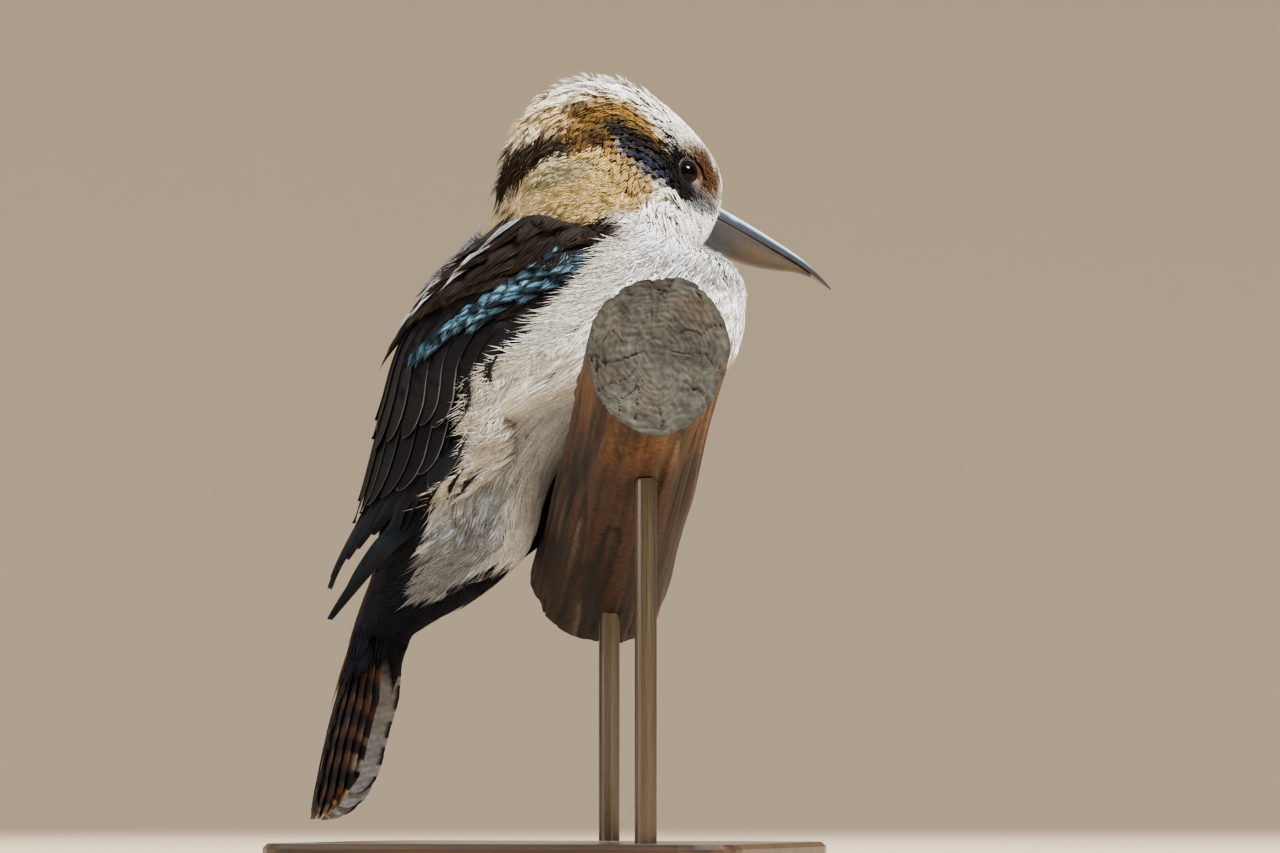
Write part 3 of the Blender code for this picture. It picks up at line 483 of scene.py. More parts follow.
def plumageColour(u, v):
    # the markings by place on the body: w is the angle from the top, the same on both sides
    w = angleFromTop(v)
    place = bodyRaw(u, v)
    tones = plumageTones
    ragged = cloud(place, 6.0, 3) * 0.5 + cloud(place, 2.4, 4) * 0.4
    fleck = clamp(cloud(place * [1, 1, 1.6], 2.3, 8) - 0.15) * 2.2
    past = w - np.interp(u, *capEdge)
    crown = ease(past / 9 + 0.3 + 0.5 * ragged) * ease((u - 4.4) / 0.4) * ease((8.9 - u) / 0.3)
    crown = crown * ease((97 - w) / 9)
    crownDepth = ease(past / 16 + 0.35 * ragged) * (1 - 0.5 * ease((u - 7.6) / 0.6) * ease((46 - w) / 14))
    olive = ease((u - np.interp(w, *oliveStart)) / 0.35 + ragged * 0.5)
    olive = olive * ease((np.interp(u, *oliveLow) - w) / 6 + 0.5 + ragged * 0.5)
    olive = olive * ease((13.0 - u) / 0.8) * (1 - 0.35 * ease((7.5 - u) / 0.5) * ease((w - 91) / 5))
    oliveDepth = clamp(spot(u, w, (8.3, 84), (20, 9)) + 0.5 * ragged)
    band = ease((u - np.interp(w, *bandStart)) / 0.3 + 0.5 + ragged * 0.7)
    band = band * ease((np.interp(w, *bandStop) - u) / 0.3 + 0.5 + ragged * 0.9)
    # from the neck on: white front and flanks, brown back, dark rump and tail root, painted shade that
    # greys the vent, and faint dark crescents on the breast
    low = ease((w - 84) / 14 + ragged * 0.3)
    front = ease((u - 9.4) / 1.4) * (1 - olive) * low
    mantle = ease((u - np.interp(w, *mantleStart)) / 0.25 + ragged * 0.3) * ease((92 - w) / 12 + ragged * 0.3)
    bars = 0.5 + 0.5 * np.sin(place[..., 2] / 7.0 * 2 * np.pi + 2 * ragged)
    scale = clamp(cloud(place * [1, 1, 0.6], 6.0, 9) - 0.32) * 1.6
    return paint(np.broadcast_to(tones["white"], u.shape + (3,)), tones, [
        ("cream", 0.85 * ease((u - 6.6) / 1.2) * ease((75 - w) / 20) * (0.8 + 0.5 * ragged)),
        (mixRows(tones["cream"], tones["gold"], crownDepth), crown),
        ("rufous", clamp(1.3 * spot(u, w, (7.85, 57), (9.5, 4.2)) * (1 + ragged))),
        ("brow", clamp(1.2 * fleck * spot(u, w, (7.2, 50), (14, 9)), 0.85)),
        ("brow", clamp(trail(u, w, browLine, 4.2) * (0.9 + 0.3 * ragged))),
        ("greyGreen", clamp(0.75 * trail(u, w, browShade, 4.4) * (0.8 + ragged))),
        (mixRows(tones["olive"], tones["oliveShade"], oliveDepth), olive),
        ("cream", 0.75 * olive * ease((52 - w) / 24) * ease((u - 9.8) / 0.8)),
        ("greyGreen", clamp(0.8 * trail(u, w, neckShade, 3.6) * (0.9 + ragged))),
        ("white", 0.9 * trail(u, w, cheekStrip, 4.4)),
        ("band", band * ease((64 - w) / 4)),
        # painted shade along the cheek's crease
        ("fold", 0.6 * trail(u, w, cheekFoldShade, 0.9)),
        ("mauve", 0.9 * trail(u, w, foldRim, 1.9)),
        ("slate", trail(u, w, foldPatch, 3.1)),
        # painted shadow line along the top of the slate patch
        ("black", 0.95 * trail(u, w, foldShadowLine, 1.8)),
        ("bristle", clamp(trail(u, w, bristleLine, 6.0) * (0.75 + 0.9 * ragged))),
        ("lore", clamp(1.5 * spot(u, w, (2.3, 48), (12, 9)) * (0.8 + 0.9 * ragged), 0.9)),
        ("lore", clamp(2.0 * spot(u, w, (2.7, 67), (13, 9.5)) * (0.85 + 0.7 * ragged))),
        ("black", clamp(3.2 * spot(u, w, (4.15, 85), (8.6, 6.6)))),
        # the white front, with its blue tint of painted cool light
        ("breast", front),
        ("flank", 0.75 * ease((u - 11.5) / 2) * ease((150 - w) / 40) * low),
        # painted shade that greys the vent
        ("paintedVentShade", 0.9 * ease((u - 17.9) / 2) * low * ease((150 - w) / 30 + 0.4)),
        ("back", mantle),
        ("rump", mantle * ease((u - 18.5) / 1.5) * ease((52 - w) / 20) * bars),
        ("farWing", isDark(u, w) * ease((w - 40) / 12)),
        ("crescent", 0.45 * scale * front * ease((u - 14) / 2) * ease((135 - w) / 20)),
    ])


coatDepth = {"u": (0.0, 2.0, 5.0, 9.0, 12.0, 18.0, 23.0), "mm": (0.5, 0.9, 1.6, 2.2, 3.0, 3.4, 2.4)}


def depthAt(u):
    return np.interp(u, coatDepth["u"], coatDepth["mm"])


# the skin


skinLook = {"rows": 250, "sides": 168, "shade": 0.7}


def makeSkin():
    # the body's own surface, drawn in by the depth of the coat and clear of the log
    u = np.linspace(0.0, bodyEnd, skinLook["rows"])[:, None]
    v = np.linspace(-np.pi, np.pi, skinLook["sides"], endpoint=False)[None]
    u, v = np.broadcast_arrays(u, v)
    points = clearOfLog(bodyPoint(u, v, -depthAt(u))[0])
    # the skin takes the plumage's colours darkened by the shade share, painted shade where it shows between the
    # feathers
    skin = tubeObject("bodySkin", points, coatMaterial, plumageColour(u, v) * skinLook["shade"])
    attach(skin, "root")
    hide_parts("head", "neck", "torso")


print("skin")
makeSkin()


# the wing's shape

# the surface that the folded wing lies on, shoulder to tip: top (x, z), middle (x, z), half width
wingKeys = np.array([
    (-56.0, 94.0, -10.0, 80.0, 43.0),
    (-74.5, 73.5, -17.0, 60.0, 50.0),
    (-92.0, 56.0, -27.0, 40.0, 53.5),
    (-105.0, 35.0, -38.0, 20.0, 55.0),
    (-112.5, 11.5, -50.0, -1.0, 54.0),
    (-119.5, -14.0, -65.0, -24.0, 50.5),
    (-127.0, -39.0, -84.0, -46.0, 44.0),
    (-138.0, -64.0, -106.0, -68.0, 36.0),
    (-146.0, -88.0, -124.0, -90.0, 29.0),
])
# each wing's lower edge and its edge along the back, in degrees round that surface
wingEdges = {
    "right": np.array([
        (101.0, 16.0), (91.0, 15.0), (80.0, 14.0), (77.0, 15.0), (84.0, 17.0),
        (85.0, 19.0), (71.0, 23.0), (55.0, 28.0), (40.0, 34.0),
    ]),
    "left": np.array([
        (101.0, 16.0), (95.0, 18.0), (94.0, 24.0), (98.0, 31.0), (107.0, 40.0),
        (118.0, 52.0), (128.0, 68.0), (131.0, 88.0), (128.0, 112.0),
    ]),
}


def wingShape(u, share, side, lift=0.0):
    # the wing's surface: a ring from the middle towards the top and out to the side, taken at an
    # angle between the lower edge (share 0) and the back edge (share 1), raised along its normal
    def at(u, angle):
        topX, topZ, midX, midZ, half = np.moveaxis(smoothKeys(wingKeys, u), -1, 0)
        x = midX + (topX - midX) * np.cos(angle)
        z = midZ + (topZ - midZ) * np.cos(angle)
        return np.stack([x, -half * np.sin(angle), z], -1)

    u, share = np.broadcast_arrays(np.asarray(u, float), np.asarray(share, float))
    low, high = np.moveaxis(smoothKeys(wingEdges[side], u), -1, 0)
    angle = np.radians(low + (high - low) * share)
    along = at(u + 0.05, angle) - at(u - 0.05, angle)
    across = at(u, angle + 0.02) - at(u, angle - 0.02)
    out = unit(np.cross(along, across))
    mirror = np.array([1, 1 if side == "right" else -1, 1])
    return (at(u, angle) + out * np.asarray(lift)[..., None]) * mirror, out * mirror


# how far below the wing's own edge its small feathers reach over the flank, as u and share
edgeKeys = (
    (0, 0.4, 1.2, 2.0, 2.7, 3.3, 3.7, 4.2, 4.7, 5.0, 5.4, 6.0),
    (0.0, -0.03, -0.09, -0.15, -0.20, -0.06, 0.05, 0.05, -0.04, -0.10, -0.05, 0.0),
)
# the tuck of that edge: the share above it where the tuck starts, over how much of the share it
# grows, the u where it ends and how soon, and its depth in millimetres, with more past a u
tuckLook = {"above": 0.15, "grow": 0.2, "end": 6.4, "fade": 0.9, "depth": 3.0, "more": 2.5, "moreFrom": 4.0}


def edgeLine(u):
    return np.interp(u, *edgeKeys)


gapRange = {"u": (0, 6.5), "share": (-0.8, 0.25)}


def findGap(side):
    # how far over the body's surface the wing's lower edge lies: a table over u and share
    us, shares = np.linspace(*gapRange["u"], 27), np.linspace(*gapRange["share"], 22)
    wing, out = wingShape(us[:, None], shares[None], side)
    u, v = np.meshgrid(np.linspace(8, 24, 100), np.linspace(-np.pi, np.pi, 181), indexing="ij")
    body = bodyRaw(u, v).reshape(-1, 3)
    nearest = np.array([body[((row[:, None] - body[None]) ** 2).sum(-1).argmin(1)] for row in wing])
    return ((wing - nearest) * out).sum(-1)


gapTables = {side: findGap(side) for side in wingEdges}


def tuckShare(u, share):
    # 1 below the wing's lower edge, 0 a little above it and past the flank
    grown = ease((edgeLine(u) + tuckLook["above"] - share) / tuckLook["grow"])
    return grown * ease((tuckLook["end"] - u) / tuckLook["fade"])


def tuckDepth(u):
    return tuckLook["depth"] + tuckLook["more"] * ease(u - tuckLook["moreFrom"])


def wingPoint(u, share, side, lift=0.0):
    # the same surface with its lower edge brought down to some millimetres under the body's, as a
    # folded wing is tucked into the feathers of the flank
    u, share = np.broadcast_arrays(np.asarray(u, float), np.asarray(share, float))
    gap = readTable(gapTables[side], shareOf(u, gapRange["u"]), shareOf(share, gapRange["share"]))
    return wingShape(u, share, side, lift - (gap + tuckDepth(u)) * tuckShare(u, share))


# the coat

eyeSize = {
    "centre": (13.0, 17.2, 109.0), "radius": 6.6, "facing": (0.36, 0.93, 0.06), "opening": 5.5,
    "bulge": 0.035, "lid": 0.7, "lidWidth": 1.06,
}


def eyeAxes(side):
    sign = 1.0 if side == "left" else -1.0
    centre = turnHead(np.array(eyeSize["centre"]) * [1, sign, 1])
    pivot = np.array([neckX, 0, 0])
    facing = unit(turnHead(pivot + np.array(eyeSize["facing"]) * [1, sign, 1]) - pivot)
    level = unit(np.cross([0, 0, 1.0], facing))
    return centre, facing, level, np.cross(facing, level)


def bladeArrays(centre, out, half, thick):
    # slim closed blades: each row a left edge, a raised middle and a right edge, meeting in a point
    count, rows = centre.shape[:2]
    along = unit(np.gradient(centre, axis=1))
    across = unit(np.cross(out, along))
    left, right = centre - across * half[..., None], centre + across * half[..., None]
    ridge = centre + out * thick[..., None]
    rings = np.stack([left, ridge, right], 2)[:, :-1].reshape(count, -1, 3)
    points = np.concatenate([rings, centre[:, -1:]], 1)
    each = points.shape[1]
    i, j = np.meshgrid(np.arange(rows - 2), np.arange(3), indexing="ij")
    k = (j + 1) % 3
    quads = np.stack([i * 3 + j, (i + 1) * 3 + j, (i + 1) * 3 + k, i * 3 + k], -1).reshape(-1, 4)
    ends = np.array([((rows - 2) * 3 + a, each - 1, (rows - 2) * 3 + (a + 1) % 3) for a in range(3)])
    tris = np.concatenate([ends, [[0, 1, 2]]])
    start = (np.arange(count) * each)[:, None, None]
    return points, [(quads[None] + start).reshape(-1, 4), (tris[None] + start).reshape(-1, 3)]


def spreadRoots(count, seed, uRange, wanted):
    # roots spread evenly by area times the wanted density: running sums along and round the body
    us = np.linspace(*uRange, 200)
    vs = np.linspace(-np.pi, np.pi, 181)
    u, v = np.meshgrid((us[1:] + us[:-1]) / 2, (vs[1:] + vs[:-1]) / 2, indexing="ij")
    along = bodyRaw(u + 0.02, v) - bodyRaw(u - 0.02, v)
    around = bodyRaw(u, v + 0.02) - bodyRaw(u, v - 0.02)
    area = np.linalg.norm(np.cross(along, around), axis=-1)
    weight = area * wanted(u, v) * (1 - coverAt(u, v)) + 1e-9
    rowSum = np.concatenate([[0], np.cumsum(weight.sum(1))])
    pairs = evenPairs(count, seed)
    rowPlace = np.interp(pairs[:, 0], rowSum / rowSum[-1], np.arange(len(rowSum)))
    row = np.minimum(rowPlace.astype(int), len(us) - 2)
    shares = np.cumsum(weight, 1) / weight.sum(1, keepdims=True)
    flat = np.concatenate([np.zeros((len(weight), 1)), shares], 1) + np.arange(len(weight))[:, None] * 2
    place = np.interp(pairs[:, 1] + row * 2, flat.reshape(-1), np.arange(flat.size)) - row * flat.shape[1]
    return np.interp(rowPlace, np.arange(len(us)), us), np.interp(place, np.arange(len(vs)), vs)


coverLook = {"u": (8.0, 25.4), "reach": 15.0, "bare": 0.08}  # bare: depth past which no root is set


def findCover():
    # how far under a folded wing each place of the body lies: the nearest point of either wing's
    # surface, and how deep within its edges that point is
    us, vs = np.linspace(*coverLook["u"], 117), np.linspace(-np.pi, np.pi, 145)
    body = bodyRaw(*np.meshgrid(us, vs, indexing="ij"))
    cover = np.zeros(body.shape[:2])
    for side in ("right", "left"):
        wingU, share = np.meshgrid(np.linspace(0, 8, 80), np.linspace(-0.24, 1, 32), indexing="ij")
        wing = wingPoint(wingU, share, side, 1.0)[0].reshape(-1, 3)
        inside = np.minimum(np.minimum(share - edgeLine(wingU), 1 - share), np.minimum(wingU, 8 - wingU) / 2.5)
        inside = inside.reshape(-1)
        for row in range(len(us)):
            gaps = ((body[row][:, None] - wing[None]) ** 2).sum(-1)
            nearest = gaps.argmin(1)
            near = gaps[np.arange(len(nearest)), nearest] < coverLook["reach"] ** 2
            cover[row] = np.maximum(cover[row], np.where(near, inside[nearest], 0.0))
    return cover


coverMap = findCover()


def coverDepth(u, v):
    # reads the map: 0 outside the wings, 0.5 at their middle
    around = ((v + np.pi) % (2 * np.pi)) / (2 * np.pi)
    depth = readTable(coverMap, shareOf(u, coverLook["u"]), around)
    return np.where(u < coverLook["u"][0], 0.0, depth)


def coverAt(u, v):
    return (coverDepth(u, v) > coverLook["bare"]).astype(float)


swellLook = {"height": 3.2, "u": 9.8, "before": 1.6, "after": 0.9, "angle": 146, "around": 28}


def swellAt(u, v):
    # the fluffed throat stands out over the bill's root, as a bell that ends sooner on the breast
    reach = np.where(u > swellLook["u"], swellLook["after"], swellLook["before"])
    along, around = (u - swellLook["u"]) / reach, (angleFromTop(v) - swellLook["angle"]) / swellLook["around"]
    return swellLook["height"] * np.exp(-(along**2) - around**2)


def featherBlades(surface, look, u, v, rng, steps, deep, swell=0.0):
    # feathers as bundles of slim blades: a blade runs back along the surface from its feather's
    # root, and off to its own side of the middle, by a shift of the surface's two parameters
    count, rows, strands = len(u), look.get("rows", 4), look["strands"]
    length = look["length"](u, v) * rng.uniform(0.82, 1.15, count)
    half = look["half"](u, v) * rng.uniform(0.85, 1.15, count)
    bend = look["sweep"](u, v) + rng.normal(0, look.get("untidy", 0.08), count)
    spiky = look.get("spiky", 0.0)
    stands = (1 - spiky) * rng.uniform(0.5, 1.4, count) + spiky * 2.8 * rng.random(count) ** 4
    raised = look["rise"](u, v) * stands - look.get("sink", fixed(0.0))(u, v)
    curl = rng.normal(0, look.get("curl", 0.1), count)
    each = (length, half, bend, curl, raised, deep)
    length, half, bend, curl, raised, deep = (row[:, None, None] for row in each)
    o = np.linspace(-1, 1, strands)[None, :, None]
    s = np.linspace(0, 1, rows)[None, None]
    own = length * (1 - look.get("pointed", 0.25) * o**2)
    a = own * (1 + rng.normal(0, look.get("frayed", 0.07), (count, strands, 1))) * s
    spread = (0.3 + 0.7 * clamp(s / 0.5)) * (1 - look.get("pinch", 0.25) * ease((s - 0.5) / 0.5))
    c = half * (o * spread + rng.normal(0, 0.06, (count, strands, 1)) * s)
    turn = bend + curl * s
    stepU, stepV = (np.maximum(step, 1.5)[:, None, None] for step in steps)
    uPath = u[:, None, None] + (a * np.cos(turn) - c * np.sin(turn)) / stepU
    vPath = v[:, None, None] + (a * np.sin(turn) + c * np.cos(turn)) / stepV
    lift = -deep * (1 - ease(s / 0.5)) + raised * s**1.4
    lift = lift + np.asarray(swell)[..., None, None] * ease(s / 0.8) - look.get("camber", 0.12) * half * o**2
    centre, out = surface(uPath, vPath, lift)
    flatShape = (count * strands, rows)
    outline = np.interp(s, [0, 0.3, 0.7, 0.9, 1], [0.5, 1, 0.85, 0.5, 0.08])
    blade = half / strands * look.get("fullness", 1.2) * outline + 0 * o
    return dict(
        centre=centre.reshape(*flatShape, 3), out=out.reshape(*flatShape, 3), half=blade.reshape(flatShape),
        o=o, uPath=uPath, vPath=vPath, count=count, strands=strands, rows=rows,
    )


def feathersObject(name, look, blades, colour, rootMap, material, rng):
    # colour has a row for each feather; each blade differs a little, and its root is in shade
    count, strands, rows = blades["count"], blades["strands"], blades["rows"]
    points, faces = bladeArrays(blades["centre"], blades["out"], blades["half"], blades["half"] * 0.45 + 0.04)
    s = np.arange(rows - 1) / (rows - 1)
    shade = np.interp(s, [0, 0.4, 1], look.get("shade", (0.7, 0.95, 1.05)))
    full = colour[:, None, None] * shade[None, None, :, None]
    full = full * (1 + rng.normal(0, look.get("streaky", 0.09), (count, strands, 1, 1)))
    tip = colour[:, None, None] * look.get("shade", (0, 0, 1.05))[2] + 0 * full[:, :, :1]
    full = np.concatenate([full, tip], 2)
    if "finish" in look:
        along = np.concatenate([s, [1.0]])[None, None, :, None]
        full = look["finish"](full, along, blades["o"][..., None], rng)
    full = np.concatenate([np.repeat(full[:, :, :-1], 3, axis=2), full[:, :, -1:]], 2)
    patch = np.stack([
        np.concatenate([np.repeat(s, 3), [1.0]]), np.concatenate([np.tile([0.0, 0.5, 1.0], rows - 1), [0.5]]),
    ], -1) - 0.5
    bake = np.repeat(rootMap, strands, axis=0)[:, None] + patch[None] * 0.003
    obj = makeMesh(name, points, faces, {"OFBake": bake.reshape(-1, 2)},
                   {"plumage": np.clip(full, 0, 0.93).reshape(-1, 3)}, material)
    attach(obj, "root")
    print("feathers", name, count, "with", sum(len(f) * (f.shape[1] - 2) for f in faces), "triangles")
    return obj


def keepBlades(blades, keep, *others):
    # leaves out whole feathers
    wide = np.repeat(keep, blades["strands"])
    for key in ("centre", "out", "half"):
        blades[key] = blades[key][wide]
    blades["count"] = int(keep.sum())
    return [other[keep] for other in others]


def growCoat(name, look, seed):
    rng = np.random.default_rng(seed)
    u, v = spreadRoots(look["count"], seed, look["u"], look["density"])
    e = 0.03
    stepU = np.linalg.norm(bodyRaw(u + e, v) - bodyRaw(u - e, v), axis=-1) / (2 * e)
    stepV = np.linalg.norm(bodyRaw(u, v + e) - bodyRaw(u, v - e), axis=-1) / (2 * e)
    blades = featherBlades(bodyPoint, look, u, v, rng, (stepU, stepV), depthAt(u) * 1.15, swellAt(u, v))
    blades["centre"] = clearOfLog(blades["centre"], 0.8)
    keep = np.ones(len(u), bool)
    for side in ("left", "right"):
        middle, facing = eyeAxes(side)[:2]
        rel = blades["centre"] - (middle + facing * 4.0)
        depth = rel @ facing
        near = np.linalg.norm(rel - depth[..., None] * facing, axis=-1) < eyeSize["opening"] + 0.9
        keep &= ~(near & (np.abs(depth) < 9)).reshape(len(u), -1).any(1)
    middle = look["strands"] // 2
    tipU, tipV = blades["uPath"][:, middle, -1], blades["vPath"][:, middle, -1]
    keep &= coverDepth(tipU, tipV) < look.get("under", 0.14)
    u, v, tipU, tipV = keepBlades(blades, keep, u, v, tipU, tipV)
    colour = plumageColour(u + 0.8 * (tipU - u), v + 0.8 * (tipV - v))
    if "tone" in look:
        colour = np.broadcast_to(look["tone"], colour.shape)
    colour = colour * (1 + rng.normal(0, look.get("vary", 0.1), len(u)))[:, None]
    rootMap = np.stack([u / 26.0, (v + np.pi) / (2 * np.pi)], -1) * 0.96 + 0.02
    feathersObject(name, look, blades, colour, rootMap, coatMaterial, rng)


sizeAlong = {
    "u": (0.0, 1.5, 3.0, 5.0, 7.0, 9.0, 11.0, 14.0, 18.0, 21.0, 23.5),
    "length": (3.2, 4.6, 6.2, 8.6, 11.0, 13.0, 18.0, 24.0, 24.0, 26.0, 27.0),
    "half": (0.7, 0.9, 1.1, 1.3, 1.5, 1.9, 2.2, 2.6, 3.0, 3.2, 3.2),
}


def usualLength(u, v):
    return np.interp(u, sizeAlong["u"], sizeAlong["length"])


def usualHalf(u, v):
    return np.interp(u, sizeAlong["u"], sizeAlong["half"])


def flow(u, v):
    # feathers lie back from the bill; round the neck they turn up to the nape, on the breast they
    # hang down to its middle, and on the flanks they turn out to the wing
    w = angleFromTop(v)
    side = np.where(np.sin(v) >= 0, 1.0, -1.0)
    cheek = -0.25 * ease((w - 55) / 30) * ease((8.0 - u) / 1.5)
    neck = -0.75 * ease((u - 7.2) / 1.3) * ease((12.6 - u) / 1.0) * ease((w - 30) / 20) * ease((112 - w) / 16)
    breast = 0.4 * ease((u - 8.8) / 1.4) * ease((15.0 - u) / 2) * ease((w - 108) / 20) * ease((178 - w) / 24)
    flank = -0.55 * ease((u - 11.0) / 2) * ease((126 - w) / 24) * ease((w - 60) / 20) * ease((22.5 - u) / 2)
    belly = -0.35 * ease((u - 14.5) / 2) * ease((165 - w) / 30) * ease((w - 110) / 16) * ease((22.5 - u) / 2)
    return side * (cheek + neck + breast + flank + belly)


def paleEdge(colour, s, o, rng):
    # a pale rim at the tip over a darker middle, which makes a scaly look
    rim = ease((s - 0.62) / 0.3)
    return colour * (0.80 + 0.34 * rim)


def darkTips(colour, s, o, rng):
    # a few feathers of the crown end dark
    few = (rng.random((colour.shape[0], 1, 1, 1)) < 0.05).astype(float)
    return colour * (1 - 0.8 * few * ease((s - 0.55) / 0.3))


def topShare(u, v):
    # 1 on top of the head, where the feathers stand up, fading down its sides and over the brow
    return ease((56 - angleFromTop(v)) / 30) * ease((u - 3.4) / 1.6)


def neat(u, v):
    # 1 on the blue patch behind the eye and round the eye, where the feathers are short and smooth
    return np.clip(trail(u, angleFromTop(v), foldPatch, 5.5), 0, 1)


def offBack(u, v):
    # 1 on the underside and flanks, 0 over the back
    return ease((angleFromTop(v) - 70) / 12)


def farWingDensity(u, v):
    w = angleFromTop(v)
    return isDark(u, w) * ease((w - 44) / 10) * (1 - 0.8 * ease((u - 21.2) / 1.2) * ease((150 - w) / 20))


def backDensity(u, v):
    w = angleFromTop(v)
    return ease((74 - w) / 12) * (1 + ease((u - 20) / 2)) * (u > np.interp(w, *mantleStart) - 0.1)


def chinRise(u, v):
    return 0.8 + 2.4 * ease(u / 2) * np.exp(-(((angleFromTop(v) - 140) / 26) ** 2))


coatLooks = {
    "eyelidFeathers": dict(
        count=520, strands=3, u=(3.0, 5.6), slot="head_plumage", pointed=0.3, untidy=0.1,
        density=lambda u, v: (spot(u, angleFromTop(v), (4.2, 85), (11.5, 10.5)) > 0.3) + 0.001,
        length=fixed(2.6), half=fixed(0.75), sweep=flow, rise=fixed(0.25), tone=(0.010, 0.009, 0.010),
    ),
    "faceFeathers": dict(
        count=2600, strands=3, u=(0.12, 3.8), slot="head_plumage", pointed=0.35, untidy=0.1,
        density=lambda u, v: 1.0 + 1.4 * ease((2.5 - u) / 2.5),
        length=usualLength, half=usualHalf, sweep=flow, rise=fixed(0.35),
    ),
    "crownFeathers": dict(
        count=1900, strands=5, u=(3.3, 9.6), slot="head_plumage", pointed=0.4, untidy=0.1, pinch=0.35,
        frayed=0.08, density=lambda u, v: 1.0 + 0.3 * ease((70 - angleFromTop(v)) / 30),
        length=lambda u, v: usualLength(u, v) * (1 - 0.35 * neat(u, v)),
        half=lambda u, v: usualHalf(u, v) * (1 + 0.35 * topShare(u, v)), sweep=flow, finish=darkTips,
        rise=lambda u, v: 0.5 - 0.3 * neat(u, v) + 2.0 * topShare(u, v),
        sink=lambda u, v: 1.2 * topShare(u, v), spiky=0.8,
    ),
    "chinFeathers": dict(
        count=520, strands=6, rows=5, u=(0.6, 9.2), slot="head_plumage", untidy=0.16, curl=0.2, frayed=0.12,
        pointed=0.3, density=lambda u, v: ease((angleFromTop(v) - 108) / 14),
        length=lambda u, v: 11.5 + 0.3 * u, half=fixed(1.9), sweep=flow, rise=chinRise,
    ),
    "neckFeathers": dict(
        count=1950, strands=6, u=(8.4, 12.4), slot="neck_plumage", pointed=0.3, untidy=0.12,
        density=fixed(1.0), finish=paleEdge, curl=0.15, frayed=0.14, sweep=flow, rise=fixed(0.7),
        length=lambda u, v: usualLength(u, v) * 1.1, half=lambda u, v: usualHalf(u, v) * 0.9,
    ),
    "breastFeathers": dict(
        count=1190, strands=8, rows=5, u=(11.6, 17.4), slot="breast_plumage", untidy=0.1, curl=0.2,
        frayed=0.1, density=offBack, streaky=0.14, shade=(0.5, 0.93, 1.05),
        length=usualLength, half=usualHalf, sweep=flow, rise=fixed(1.2),
    ),
    "bellyFeathers": dict(
        count=1000, strands=8, rows=5, u=(16.8, 21.6), slot="breast_plumage", untidy=0.12, curl=0.2,
        frayed=0.12, density=lambda u, v: offBack(u, v) * (1 - isDark(u + 0.3, angleFromTop(v))),
        length=usualLength, half=usualHalf, sweep=flow, rise=fixed(1.3), streaky=0.12,
    ),
    "farWingFeathers": dict(
        count=240, strands=12, rows=5, u=(18.2, 23.3), slot="wing_feathers", untidy=0.05, curl=0.05,
        frayed=0.02, density=farWingDensity, tone=plumageTones["farWing"], length=fixed(23),
        half=fixed(5.0), sweep=fixed(0.0), rise=fixed(0.5), shade=(0.8, 1.0, 1.3), pointed=0.2, under=0.6,
    ),
    "backFeathers": dict(
        count=400, strands=10, rows=5, u=(11.2, 23.4), slot="wing_feathers", untidy=0.1, frayed=0.05,
        density=backDensity, sweep=flow, rise=fixed(0.8), shade=(0.8, 0.95, 1.5), under=0.5,
        length=lambda u, v: usualLength(u, v) * 0.9, half=lambda u, v: usualHalf(u, v) * 1.7,
    ),
}

print("coat")
for order, (coatName, look) in enumerate(coatLooks.items()):
    growCoat(coatName, look, 11 + order)


# the wings


def vaneArrays(centre, out, half, offsets, thick, tilt, bow):
    # thin closed plates along centre lines: bowed across, one edge tilted up over the next vane,
    # with a raised shaft; the top and underside are grids that meet at their rims
    count, rows = centre.shape[:2]
    along = unit(np.gradient(centre, axis=1))
    across = unit(np.cross(out, along))
    t = np.asarray(offsets)[None, None, :]
    wide = t * half[..., None]
    rise = t * tilt[..., None] - wide**2 / (2 * bow)
    middle = centre[:, :, None] + wide[..., None] * across[:, :, None] + rise[..., None] * out[:, :, None]
    body = thick * (0.25 + 0.75 * np.sqrt(clamp(1 - t**2))) + 0.16 * np.exp(-((t / 0.09) ** 2))
    body = body[..., None] * out[:, :, None] / 2
    top, low = middle + body, middle - body
    columns = len(offsets)
    points = np.concatenate([top.reshape(count, -1, 3), low.reshape(count, -1, 3)], 1)
    i, j = np.meshgrid(np.arange(rows - 1), np.arange(columns - 1), indexing="ij")
    a = (i * columns + j).reshape(-1)
    grid = rows * columns
    upper = np.stack([a, a + 1, a + columns + 1, a + columns], -1)
    lower = np.stack([a + grid, a + columns + grid, a + columns + 1 + grid, a + 1 + grid], -1)
    rim = np.concatenate([
        np.arange(columns), np.arange(1, rows) * columns + columns - 1,
        (rows - 1) * columns + np.arange(columns - 2, -1, -1), np.arange(rows - 2, 0, -1) * columns,
    ])
    after = np.roll(rim, -1)
    sides = np.stack([rim, rim + grid, after + grid, after], -1)
    quads = np.concatenate([upper, lower, sides])
    start = (np.arange(count) * grid * 2)[:, None, None]
    return points, (quads[None] + start).reshape(-1, 4), middle


def vaneMap(count, s, offsets, length):
    # places across and along each vane, the same on its two faces
    vane = np.stack(np.broadcast_arrays(offsets[None, None] * 0.5, s[..., None] * length + 0 * offsets), -1)
    vane = np.broadcast_to(vane, (count, s.shape[-1], len(offsets), 2)).reshape(count, -1, 2)
    return np.concatenate([vane, vane], 1).reshape(-1, 2)


def cellMap(count, rows, columns):
    # each vane's own cell of a square sheet, its top in the left half and its underside in the right
    side = int(math.ceil(math.sqrt(count)))
    cell = 1.0 / side
    n = np.arange(count)
    corner = np.stack([n % side, n // side], -1) * cell
    s, t = np.meshgrid(np.linspace(0.04, 0.96, rows), np.linspace(0.04, 0.46, columns), indexing="ij")
    top = np.stack([t, s], -1).reshape(-1, 2)
    both = np.concatenate([top, top + [0.5, 0]])
    return (corner[:, None] + both[None] * cell).reshape(-1, 2)


